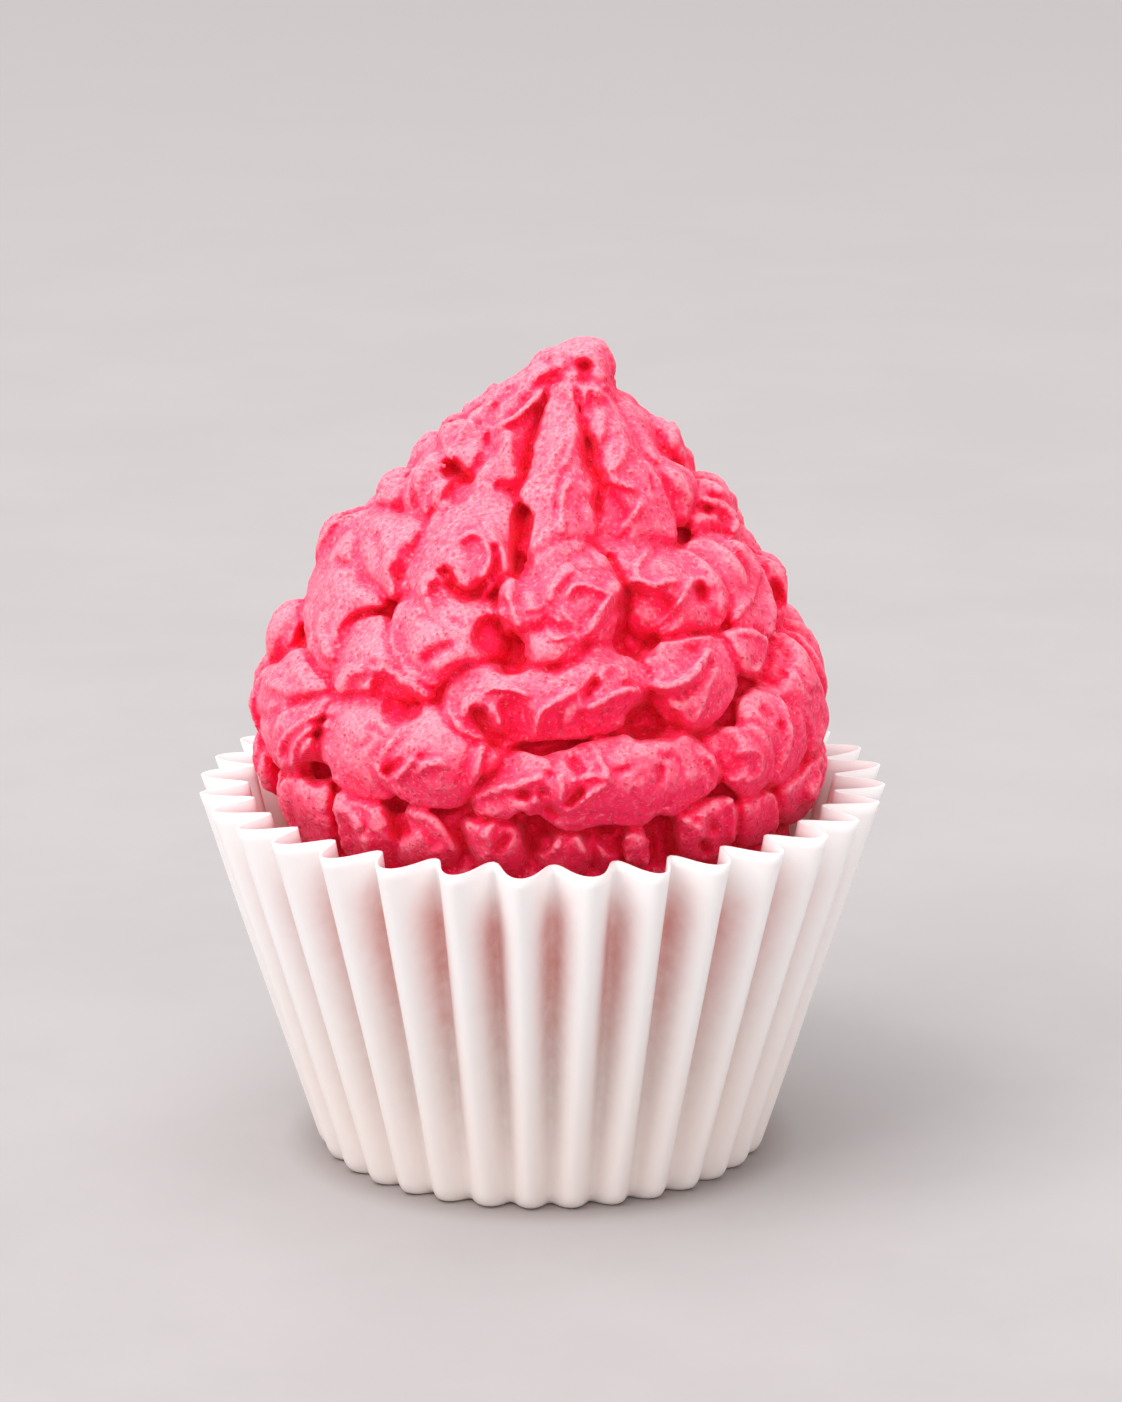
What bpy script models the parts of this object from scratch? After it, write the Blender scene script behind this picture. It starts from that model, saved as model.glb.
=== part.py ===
"""Cupcake in a pleated paper case with a tall pile of piped icing.

Metres, +Z up, the case stands on z = 0 with its axis on the origin and the
front of the cupcake towards -Y.  Azimuths are in degrees, 0 at the front and
positive towards +X.
"""
import math

import bmesh
import bpy
import numpy as np
from mathutils import Vector, noise

MM = 0.001

# Paper case
PLEATS = 32
POINTS_PER_PLEAT = 8
PLEAT_TURN = -3.4
CASE_HEIGHT = 38.4
RIM_RIDGE_RADIUS = 35.0
RIM_VALLEY_RADIUS = 30.1
FOOT_RIDGE_RADIUS = 22.8
FOOT_VALLEY_RADIUS = 21.2
FOOT_ROUND_HEIGHT = 1.6
FOOT_ROUND_INSET = 0.9
PAPER_THICKNESS = 0.3

# Sponge
CAKE_BOTTOM = 0.6
CAKE_TOP = 29.0
CAKE_GAP = 0.35
CAKE_FLUTE_DEPTH = 0.5
POINTS_PER_FLUTE = 3

# Icing pile
ICING_BOTTOM = 29.3
ICING_GAP = 0.65
ICING_FREE_HEIGHT = 39.0
MOULD_FLARE = 4.0
MOULD_TOP = 95.0
MOULD_SIDES = 96
PILE_RADIUS = 30.0
PILE_BELLY_HEIGHT = 45.0
PILE_TOP = 84.0
PILE_POWER = 1.65
PILE_UNDERCUT = 1.6
PILE_UNDERCUT_DEPTH = 6.0
LEAN_START = 65.0
LEAN = 4.7
LEAN_POWER = 1.5
CORE_INSET = 6.5
CORE_FOOT_INSET = 2.5
CORE_FOOT_HEIGHT = 38.0
CORE_TOP = 79.0
LOBE_INSET = 0.97
VOXEL = 0.35
ICING_FACES = 9900

# Each piped lobe: azimuth, height, half width, half length, tilt to the right
# of the slope and taper towards the top, grouped by the strand it is in.
FRONT_LOBES = {
    "crown": [
        (90, 80.4, 3.5, 3.5, 0, 0.0),
        (-110, 80.6, 2.8, 3.0, 0, 0.0),
        (20, 79.0, 3.2, 3.0, 0, 0.0),
    ],
    "middle": [
        (3, 72.0, 4.0, 9.6, 2, 0.35),
        (3, 66.5, 4.2, 4.4, 0, 0.1),
        (12, 61.6, 4.6, 5.2, 0, 0.0),
        (-4, 61.8, 2.6, 2.8, 0, 0.0),
        (1, 58.8, 3.4, 2.2, 0, 0.0),
    ],
    "right_front": [
        (32, 74.0, 3.6, 8.4, 0, 0.45),
        (40, 68.6, 4.4, 4.8, 0, 0.2),
        (44, 61.4, 5.4, 4.9, 0, 0.0),
        (37, 53.8, 5.6, 5.0, 0, 0.0),
        (46, 46.0, 4.6, 4.2, 0, 0.0),
    ],
    "right": [
        (62, 75.2, 2.9, 6.4, 0, 0.4),
        (66, 69.4, 3.4, 4.6, 0, 0.1),
        (82, 65.6, 3.6, 4.2, 0, 0.0),
        (65, 61.2, 4.0, 4.8, 0, 0.0),
        (63, 57.4, 3.6, 6.0, 0, 0.0),
        (54, 54.2, 3.2, 3.8, 0, 0.0),
        (52, 49.8, 4.0, 4.2, 0, 0.0),
        (58, 47.2, 4.0, 5.4, 0, 0.0),
    ],
    "right_back": [
        (97, 73.4, 3.0, 4.6, 0, 0.2),
        (98, 66.4, 3.7, 4.4, 0, 0.0),
        (86, 58.5, 4.0, 5.2, 0, 0.0),
        (83, 48.9, 4.9, 6.4, 0, 0.0),
        (68, 41.2, 2.8, 3.6, 0, 0.0),
        (82, 40.4, 3.2, 4.0, 0, 0.0),
    ],
    "left_front": [
        (-30, 75.0, 3.2, 7.6, 0, 0.45),
        (-30, 66.4, 5.8, 6.2, 0, 0.25),
        (-28, 57.7, 6.0, 5.6, 0, 0.1),
        (-25, 47.6, 5.0, 5.4, 0, 0.0),
    ],
    "left": [
        (-96, 77.4, 2.6, 5.6, 0, 0.3),
        (-68, 75.6, 2.8, 4.6, 0, 0.3),
        (-82, 73.4, 2.7, 2.8, 0, 0.0),
        (-64, 70.2, 3.2, 4.6, 0, 0.0),
        (-59, 64.4, 4.2, 5.6, 0, 0.0),
        (-62, 57.4, 4.8, 5.2, 0, 0.0),
        (-45, 54.6, 5.0, 4.8, 0, 0.0),
        (-42, 47.0, 5.0, 5.2, 0, 0.0),
    ],
    "left_back": [
        (-80, 68.0, 2.7, 3.0, 0, 0.0),
        (-93, 61.8, 4.6, 6.4, 0, 0.0),
        (-90, 52.8, 4.2, 5.0, 0, 0.0),
        (-82, 47.2, 4.2, 5.2, 0, 0.0),
        (-66, 47.4, 4.8, 5.4, 0, 0.0),
    ],
    "upper_roll": [
        (-12, 52.8, 5.6, 4.2, -8, 0.0),
        (1, 53.2, 4.6, 4.0, -8, 0.0),
        (15, 53.8, 5.3, 4.4, -8, 0.0),
    ],
    "lower_roll": [
        (-7, 45.2, 4.6, 3.4, 0, 0.0),
        (9, 45.3, 5.6, 4.3, 0, 0.0),
        (27, 45.3, 6.2, 4.8, 5, 0.0),
        (-12, 48.2, 3.0, 2.6, 0, 0.0),
    ],
    "rim_row": [
        (-88, 41.2, 3.8, 5.0, 0, 0.0),
        (-68, 38.8, 3.6, 5.0, 0, 0.0),
        (-55, 39.6, 4.0, 5.4, 0, 0.0),
        (-38, 38.8, 4.2, 5.2, 0, 0.0),
        (-23, 38.8, 4.0, 4.8, 0, 0.0),
        (-9, 38.8, 4.0, 4.8, 0, 0.0),
        (6, 38.6, 4.2, 4.8, 0, 0.0),
        (21, 38.6, 3.8, 4.8, 0, 0.0),
        (37, 39.0, 4.0, 4.8, 0, 0.0),
        (50, 39.2, 3.6, 4.8, 0, 0.0),
    ],
}

# Rear tiers: height, number of lobes round the full turn, half width, half
# length.  Only the lobes that fall between the two side azimuths are used.
REAR_TIERS = [
    (39.6, 22, 3.7, 3.6),
    (47.2, 20, 4.6, 5.2),
    (55.0, 18, 4.8, 5.0),
    (62.6, 16, 4.7, 5.0),
    (69.4, 13, 4.0, 4.6),
    (75.0, 11, 2.9, 5.4),
]
REAR_START = 108.0
REAR_END = 247.0
REAR_SEED = 11

LOBE_SEED = 5
RIDGES_FROM = 5
RIDGES_TO = 8
RIDGE_DEPTH_FROM = 0.14
RIDGE_DEPTH_TO = 0.30
TWIST = 0.35
TUCK = 0.30
FULLNESS = 0.85
WAVER = 0.25
LUMP = 0.24
LUMP_SIZE = 4.5
POINTS_PER_RIDGE = 4
LOBE_RINGS = 12


def clear_scene():
    """Remove every object that is in the scene."""
    for thing in list(bpy.data.objects):
        bpy.data.objects.remove(thing, do_unlink=True)


def make_material(name, color, roughness):
    """Return a plain material with the given colour and roughness."""
    material = bpy.data.materials.new(name)
    material.use_nodes = True
    shader = material.node_tree.nodes["Principled BSDF"]
    shader.inputs["Base Color"].default_value = (*color, 1.0)
    shader.inputs["Roughness"].default_value = roughness
    shader.inputs["Metallic"].default_value = 0.0
    material.diffuse_color = (*color, 1.0)
    return material


def add_object(name, points_mm, faces, material):
    """Make a named mesh object from points in millimetres."""
    mesh = bpy.data.meshes.new(name)
    mesh.from_pydata([tuple(MM * c for c in p) for p in points_mm], [], faces)
    mesh.validate()
    mesh.update()
    mesh.materials.append(material)
    thing = bpy.data.objects.new(name, mesh)
    bpy.context.scene.collection.objects.link(thing)
    return thing


def smooth(thing, angle=None):
    """Shade an object smooth, sharp where faces meet above the angle."""
    bpy.ops.object.select_all(action="DESELECT")
    thing.select_set(True)
    bpy.context.view_layer.objects.active = thing
    if angle is None:
        bpy.ops.object.shade_smooth()
    else:
        bpy.ops.object.shade_smooth_by_angle(angle=angle)


def case_radii(height):
    """Return the ridge and valley radius of the paper at a height."""
    share = min(max(height / CASE_HEIGHT, 0.0), 1.0)
    ridge = FOOT_RIDGE_RADIUS + (RIM_RIDGE_RADIUS - FOOT_RIDGE_RADIUS) * share
    valley = FOOT_VALLEY_RADIUS + (RIM_VALLEY_RADIUS - FOOT_VALLEY_RADIUS) * share
    return ridge, valley


def pleated_ring(height, inset, thickness):
    """Return one closed pleated ring, moved inwards along its own normal."""
    ridge, valley = case_radii(height)
    count = PLEATS * POINTS_PER_PLEAT
    angles = np.arange(count) * 2.0 * math.pi / count
    wave = 0.5 + 0.5 * np.cos(PLEATS * angles)
    radii = valley + (ridge - valley) * wave - inset
    slope = -(ridge - valley) * 0.5 * PLEATS * np.sin(PLEATS * angles)
    turned = angles + math.radians(PLEAT_TURN) - 0.5 * math.pi
    across = np.stack([np.cos(turned), np.sin(turned)], axis=1)
    along = np.stack([-np.sin(turned), np.cos(turned)], axis=1)
    normal = radii[:, None] * across - slope[:, None] * along
    normal /= np.linalg.norm(normal, axis=1)[:, None]
    ring = radii[:, None] * across - thickness * normal
    return [(x, y, height) for x, y in ring]


def stitch(rings, close_first, close_last):
    """Join rings of equal count into one skin, with optional end discs."""
    points = [p for ring in rings for p in ring]
    count = len(rings[0])
    faces = []
    for level in range(len(rings) - 1):
        low = level * count
        high = low + count
        for i in range(count):
            j = (i + 1) % count
            faces.append((low + i, low + j, high + j, high + i))
    if close_first:
        middle = len(points)
        points.append((0.0, 0.0, rings[0][0][2]))
        faces += [(middle, (i + 1) % count, i) for i in range(count)]
    if close_last:
        middle = len(points)
        base = (len(rings) - 1) * count
        points.append((0.0, 0.0, rings[-1][0][2]))
        faces += [(middle, base + i, base + (i + 1) % count) for i in range(count)]
    return points, faces


def build_case(material):
    """Build the pleated paper case as a thin closed cup."""
    outer_foot = pleated_ring(0.0, FOOT_ROUND_INSET, 0.0)
    outer_low = pleated_ring(FOOT_ROUND_HEIGHT, 0.0, 0.0)
    outer_rim = pleated_ring(CASE_HEIGHT, 0.0, 0.0)
    inner_rim = pleated_ring(CASE_HEIGHT, 0.0, PAPER_THICKNESS)
    inner_low = pleated_ring(FOOT_ROUND_HEIGHT, 0.0, PAPER_THICKNESS)
    inner_foot = [
        (x, y, PAPER_THICKNESS)
        for x, y, _ in pleated_ring(PAPER_THICKNESS, FOOT_ROUND_INSET, PAPER_THICKNESS)
    ]
    rings = [outer_foot, outer_low, outer_rim, inner_rim, inner_low, inner_foot]
    points, faces = stitch(rings, True, True)
    case = add_object("paper_case", points, faces, material)
    smooth(case, math.radians(50.0))
    return case


def build_cake(material):
    """Build the lightly fluted sponge that fills the case."""
    rings = []
    for height in (CAKE_BOTTOM, FOOT_ROUND_HEIGHT + 0.6, CAKE_TOP):
        valley = case_radii(height)[1]
        inset = PAPER_THICKNESS + CAKE_GAP + CAKE_FLUTE_DEPTH
        if height == CAKE_BOTTOM:
            inset += FOOT_ROUND_INSET
        count = PLEATS * POINTS_PER_FLUTE
        ring = []
        for i in range(count):
            angle = 2.0 * math.pi * i / count
            flute = CAKE_FLUTE_DEPTH * (0.5 + 0.5 * math.cos(PLEATS * angle))
            radius = valley - inset + flute
            turned = angle + math.radians(PLEAT_TURN) - 0.5 * math.pi
            ring.append((radius * math.cos(turned), radius * math.sin(turned), height))
        rings.append(ring)
    points, faces = stitch(rings, True, True)
    cake = add_object("cake", points, faces, material)
    smooth(cake, math.radians(40.0))
    return cake


def pile_radius(height):
    """Return the radius of the icing pile at a height."""
    if height < PILE_BELLY_HEIGHT:
        drop = min((PILE_BELLY_HEIGHT - height) / PILE_UNDERCUT_DEPTH, 1.2)
        return PILE_RADIUS - PILE_UNDERCUT * drop ** 2
    share = (height - PILE_BELLY_HEIGHT) / (PILE_TOP - PILE_BELLY_HEIGHT)
    share = min(max(share, 0.0), 1.0)
    return PILE_RADIUS * (1.0 - share ** PILE_POWER)


def pile_lean(height):
    """Return how far the axis of the pile has moved towards +X."""
    share = (height - LEAN_START) / (PILE_TOP - LEAN_START)
    share = min(max(share, 0.0), 1.0)
    return LEAN * share ** LEAN_POWER


def slope_frame(azimuth, height):
    """Return the outward, sideways and upward directions on the pile."""
    step = 0.5
    fall = (pile_radius(height - step) - pile_radius(height + step)) / (2.0 * step)
    rise = math.atan(fall)
    turn = math.radians(azimuth)
    out = np.array([math.cos(rise) * math.sin(turn), -math.cos(rise) * math.cos(turn), math.sin(rise)])
    side = np.array([math.cos(turn), math.sin(turn), 0.0])
    up = np.array([-math.sin(rise) * math.sin(turn), math.sin(rise) * math.cos(turn), math.cos(rise)])
    return out, side, up


def lobe(azimuth, height, half_width, half_length, tilt, taper, chance):
    """Return the points and faces of one ridged piped lobe."""
    out, side, up = slope_frame(azimuth, height)
    lean = math.radians(tilt)
    axis = math.cos(lean) * up + math.sin(lean) * side
    across = math.cos(lean) * side - math.sin(lean) * up
    depth = min(half_width, half_length)
    distance = max(pile_radius(height) - LOBE_INSET * depth, 0.3)
    turn = math.radians(azimuth)
    middle = np.array([
        pile_lean(height) + distance * math.sin(turn),
        -distance * math.cos(turn),
        height,
    ])
    ridges = int(chance.integers(RIDGES_FROM, RIDGES_TO + 1))
    ridge_depth = chance.uniform(RIDGE_DEPTH_FROM, RIDGE_DEPTH_TO)
    twist = chance.uniform(-TWIST, TWIST)
    phase = chance.uniform(0.0, math.pi)
    shift = Vector(chance.uniform(-50.0, 50.0, 3))
    segments = ridges * POINTS_PER_RIDGE
    points = []
    for ring in range(LOBE_RINGS + 1):
        polar = math.pi * ring / LOBE_RINGS
        profile = max(math.sin(polar), 0.0) ** FULLNESS * (1.0 - taper * math.cos(polar))
        for step in range(segments):
            if ring in (0, LOBE_RINGS) and step:
                continue
            base = 2.0 * math.pi * step / segments
            rough = middle + half_width * math.cos(base) * across + depth * math.sin(base) * out
            rough = rough + half_length * math.cos(polar) * axis
            wander = noise.noise(Vector(rough / LUMP_SIZE) + shift)
            swell = noise.noise(Vector(rough / LUMP_SIZE) - shift)
            spin = base + phase + twist * (polar - 0.5 * math.pi) + WAVER * wander
            groove = 1.0 - abs(math.cos(0.5 * ridges * base))
            size = profile * (1.0 - ridge_depth * groove) * (1.0 + LUMP * swell)
            inward = TUCK * depth * math.cos(polar) ** 2
            points.append(
                middle
                + half_width * size * math.cos(spin) * across
                + (depth * size * math.sin(spin) - inward) * out
                + half_length * math.cos(polar) * axis
            )
    faces = []
    for step in range(segments):
        after = (step + 1) % segments
        faces.append((0, 1 + after, 1 + step))
        for ring in range(LOBE_RINGS - 2):
            low = 1 + ring * segments
            high = low + segments
            faces.append((low + step, low + after, high + after, high + step))
        last = 1 + (LOBE_RINGS - 2) * segments
        faces.append((last + step, last + after, len(points) - 1))
    return points, faces


def core():
    """Return the points and faces of the solid middle of the pile."""
    levels = np.linspace(ICING_BOTTOM - 1.0, CORE_TOP, 30)
    rings = []
    for height in levels:
        share = (height - CORE_FOOT_HEIGHT) / (PILE_BELLY_HEIGHT - CORE_FOOT_HEIGHT)
        share = min(max(share, 0.0), 1.0)
        inset = CORE_FOOT_INSET + (CORE_INSET - CORE_FOOT_INSET) * share
        radius = max(pile_radius(height) - inset, 1.0)
        lean = pile_lean(height)
        angles = np.arange(64) * 2.0 * math.pi / 64
        rings.append([(lean + radius * math.cos(a), radius * math.sin(a), height) for a in angles])
    return stitch(rings, True, True)


def rear_lobes():
    """Return the lobes of the rear, tier by tier, a little uneven."""
    chance = np.random.default_rng(REAR_SEED)
    lobes = []
    for tier, (height, count, half_width, half_length) in enumerate(REAR_TIERS):
        for i in range(count):
            azimuth = (i + 0.5 * (tier % 2)) * 360.0 / count
            if not REAR_START <= azimuth <= REAR_END:
                continue
            azimuth += chance.uniform(-4.0, 4.0)
            lift = chance.uniform(-1.2, 1.2)
            scale = chance.uniform(0.88, 1.12)
            tilt = chance.uniform(-20.0, 20.0)
            lobes.append((azimuth, height + lift, half_width * scale, half_length * scale, tilt, 0.0))
    return lobes


def mould():
    """Return the points and faces of the room the icing is kept within."""
    rings = []
    for height, radius in (
        (ICING_BOTTOM, case_radii(ICING_BOTTOM)[1] - ICING_GAP),
        (ICING_FREE_HEIGHT, case_radii(ICING_FREE_HEIGHT)[1] - ICING_GAP),
        (ICING_FREE_HEIGHT + MOULD_FLARE, RIM_RIDGE_RADIUS),
        (MOULD_TOP, RIM_RIDGE_RADIUS),
    ):
        angles = np.arange(MOULD_SIDES) * 2.0 * math.pi / MOULD_SIDES
        rings.append([(radius * math.cos(a), radius * math.sin(a), height) for a in angles])
    return stitch(rings, True, True)


def keep_largest_body(mesh):
    """Drop any loose crumb, leaving the largest connected body."""
    work = bmesh.new()
    work.from_mesh(mesh)
    left = set(work.verts)
    bodies = []
    while left:
        start = left.pop()
        body = [start]
        queue = [start]
        while queue:
            for edge in queue.pop().link_edges:
                for vertex in edge.verts:
                    if vertex in left:
                        left.remove(vertex)
                        body.append(vertex)
                        queue.append(vertex)
        bodies.append(body)
    bodies.sort(key=len)
    for body in bodies[:-1]:
        bmesh.ops.delete(work, geom=body, context="VERTS")
    work.to_mesh(mesh)
    work.free()


def apply_modifier(thing, kind, **settings):
    """Add one modifier with its settings and apply it."""
    bpy.context.view_layer.objects.active = thing
    modifier = thing.modifiers.new(kind.lower(), kind)
    for name, value in settings.items():
        setattr(modifier, name, value)
    bpy.ops.object.modifier_apply(modifier=modifier.name)


def build_icing(material):
    """Build the whole pile of piped icing as one fused mass."""
    icing = add_object("frosting", *core(), material)
    chance = np.random.default_rng(LOBE_SEED)
    lobes = bpy.data.collections.new("lobes")
    bpy.context.scene.collection.children.link(lobes)
    values = [one for strand in FRONT_LOBES.values() for one in strand] + rear_lobes()
    for number, one in enumerate(values):
        piece = add_object(f"lobe_{number}", *lobe(*one, chance), material)
        bpy.context.scene.collection.objects.unlink(piece)
        lobes.objects.link(piece)
    apply_modifier(
        icing,
        "BOOLEAN",
        operation="UNION",
        operand_type="COLLECTION",
        collection=lobes,
        solver="MANIFOLD",
    )
    for piece in list(lobes.objects):
        bpy.data.objects.remove(piece, do_unlink=True)
    bpy.data.collections.remove(lobes)
    apply_modifier(icing, "REMESH", mode="VOXEL", voxel_size=VOXEL * MM)
    keep_largest_body(icing.data)
    triangles = sum(len(face.vertices) - 2 for face in icing.data.polygons)
    apply_modifier(icing, "DECIMATE", ratio=ICING_FACES / triangles)
    room = add_object("room", *mould(), material)
    apply_modifier(icing, "BOOLEAN", operation="INTERSECT", object=room, solver="MANIFOLD")
    bpy.data.objects.remove(room, do_unlink=True)
    smooth(icing)
    return icing


def main():
    """Build the three pieces of the cupcake."""
    clear_scene()
    paper = make_material("white_paper", (0.80, 0.76, 0.75), 0.70)
    sponge = make_material("sponge", (0.62, 0.40, 0.22), 0.85)
    icing = make_material("pink_icing", (0.89, 0.10, 0.19), 0.55)
    build_case(paper)
    build_cake(sponge)
    build_icing(icing)


main()
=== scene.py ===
import logging
import math
from dataclasses import dataclass, field
from enum import Enum

import bmesh
import bpy
import numpy as np
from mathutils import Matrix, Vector, noise
from mathutils.bvhtree import BVHTree


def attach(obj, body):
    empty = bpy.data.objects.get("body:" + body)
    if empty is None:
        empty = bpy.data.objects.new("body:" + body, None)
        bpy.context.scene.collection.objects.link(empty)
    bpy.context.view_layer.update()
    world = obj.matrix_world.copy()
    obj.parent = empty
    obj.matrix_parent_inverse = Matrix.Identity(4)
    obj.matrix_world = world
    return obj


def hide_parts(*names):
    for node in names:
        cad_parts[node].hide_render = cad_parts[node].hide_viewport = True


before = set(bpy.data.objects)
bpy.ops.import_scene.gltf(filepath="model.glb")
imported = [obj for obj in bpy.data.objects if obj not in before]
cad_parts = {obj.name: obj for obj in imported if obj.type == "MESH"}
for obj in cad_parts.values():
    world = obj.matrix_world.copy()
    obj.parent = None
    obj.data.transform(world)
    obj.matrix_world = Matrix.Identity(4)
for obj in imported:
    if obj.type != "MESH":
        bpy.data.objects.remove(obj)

MM = 0.001
LOG = logging.getLogger("cupcake")


# Shader maths


class Reading:
    """A shader number or colour that can stand in an expression."""

    def __init__(self, bench: "Bench", socket: bpy.types.NodeSocket) -> None:
        """Hold an output socket and the bench its nodes are added on."""
        self.bench = bench
        self.socket = socket

    def _math(self, operation: str, *values: object) -> "Reading":
        """Add one Math node.

        Args:
            operation: The Math node's operation.
            values: Its inputs, readings or numbers.

        Returns:
            The result as a reading.
        """
        return self.bench.add("ShaderNodeMath", {"operation": operation}, dict(enumerate(values)))

    def __add__(self, other: object) -> "Reading":
        """Return self + other."""
        return self._math("ADD", self, other)

    __radd__ = __add__

    def __sub__(self, other: object) -> "Reading":
        """Return self - other."""
        return self._math("SUBTRACT", self, other)

    def __rsub__(self, other: object) -> "Reading":
        """Return other - self."""
        return self._math("SUBTRACT", other, self)

    def __mul__(self, other: object) -> "Reading":
        """Return self * other."""
        return self._math("MULTIPLY", self, other)

    __rmul__ = __mul__

    def clamp(self) -> "Reading":
        """Return self kept between 0 and 1."""
        return self.bench.add("ShaderNodeClamp", {}, {"Value": self})

    def ramp(self, low: float, high: float) -> "Reading":
        """Ease self from 0 at low to 1 at high.

        Args:
            low: The value that gives 0.
            high: The value that gives 1.

        Returns:
            The eased reading.
        """
        settings = {"interpolation_type": "SMOOTHSTEP"}
        values = {"Value": self, "From Min": low, "From Max": high}
        return self.bench.add("ShaderNodeMapRange", settings, values)


class Bench:
    """The node tree of one new material."""

    def __init__(self, name: str) -> None:
        """Start a material with only a Principled shader and its output.

        Args:
            name: The material's name.
        """
        self.material = bpy.data.materials.new(name)
        self.material.use_nodes = True
        self.tree = self.material.node_tree
        self.shader = self.tree.nodes["Principled BSDF"]

    def add(
        self, kind: str, settings: dict[str, object], values: dict[object, object], output: object = 0
    ) -> Reading:
        """Add any node.

        Args:
            kind: The node's type.
            settings: Its properties, or a ramp's stops, set before its sockets.
            values: Its inputs, by name or place: readings, numbers or colours.
            output: The output to read, by name or place.

        Returns:
            A reading of that output.
        """
        node = self.tree.nodes.new(kind)
        for name, value in settings.items():
            setattr(node, name, value)
        for name, value in values.items():
            if isinstance(value, Reading):
                self.tree.links.new(value.socket, node.inputs[name])
            else:
                node.inputs[name].default_value = value
        return Reading(self, node.outputs[output])

    def place(self) -> Reading:
        """Return the Object coordinates."""
        return self.add("ShaderNodeTexCoord", {}, {}, "Object")

    def along(self, axis: str) -> Reading:
        """Return one Object coordinate in metres, by its letter."""
        return self.add("ShaderNodeSeparateXYZ", {}, {0: self.place()}, axis)

    def attribute(self, name: str) -> Reading:
        """Return a number stored on the mesh under a name."""
        return self.add("ShaderNodeAttribute", {"attribute_name": name}, {}, "Fac")

    def cloud(self, size_mm: float, detail: float = 3.0, rough: float = 0.55) -> Reading:
        """Return soft noise.

        Args:
            size_mm: The size of one lump.
            detail: The number of finer layers.
            rough: How strong the finer layers are.

        Returns:
            The noise, about 0 to 1.
        """
        scale = 1.0 / (size_mm * MM)
        values = {"Vector": self.place(), "Scale": scale, "Detail": detail, "Roughness": rough}
        return self.add("ShaderNodeTexNoise", {}, values)

    def cells(self, size_mm: float) -> Reading:
        """Return the distance to the nearest of scattered points, size_mm apart."""
        values = {"Vector": self.place(), "Scale": 1.0 / (size_mm * MM)}
        return self.add("ShaderNodeTexVoronoi", {}, values, "Distance")

    def mix(self, share: object, first: object, second: object) -> Reading:
        """Mix two colours.

        Args:
            share: How much of the second colour.
            first: A colour or reading.
            second: A colour or reading.

        Returns:
            The mixed colour.
        """
        settings = {"data_type": "RGBA", "clamp_factor": True}
        return self.add("ShaderNodeMix", settings, {0: share, 6: first, 7: second}, 2)

    def bump(
        self, height: Reading, depth_mm: float, strength: float = 1.0, under: Reading | None = None
    ) -> Reading:
        """Turn a height into a bumped normal.

        Args:
            height: The height, 0 to 1.
            depth_mm: What a height of 1 stands for.
            strength: How much of the bump is used.
            under: A normal that this bump lies on.

        Returns:
            The normal.
        """
        values: dict[object, object] = {"Height": height, "Distance": depth_mm * MM, "Strength": strength}
        if under is not None:
            values["Normal"] = under
        return self.add("ShaderNodeBump", {}, values)

    def dress(self, values: dict[str, object]) -> bpy.types.Material:
        """Fill in the Principled shader.

        Args:
            values: Its inputs by name: readings, numbers or colours.

        Returns:
            The finished material.
        """
        for name, value in values.items():
            if isinstance(value, Reading):
                self.tree.links.new(value.socket, self.shader.inputs[name])
            else:
                self.shader.inputs[name].default_value = value
        return self.material


def srgb(red: int, green: int, blue: int) -> tuple[float, float, float, float]:
    """Return a colour for a shader from its values on a screen, 0 to 255."""
    parts = [value / 255.0 for value in (red, green, blue)]
    linear = [p / 12.92 if p <= 0.04045 else ((p + 0.055) / 1.055) ** 2.4 for p in parts]
    return (*linear, 1.0)


# Finishes


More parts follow.
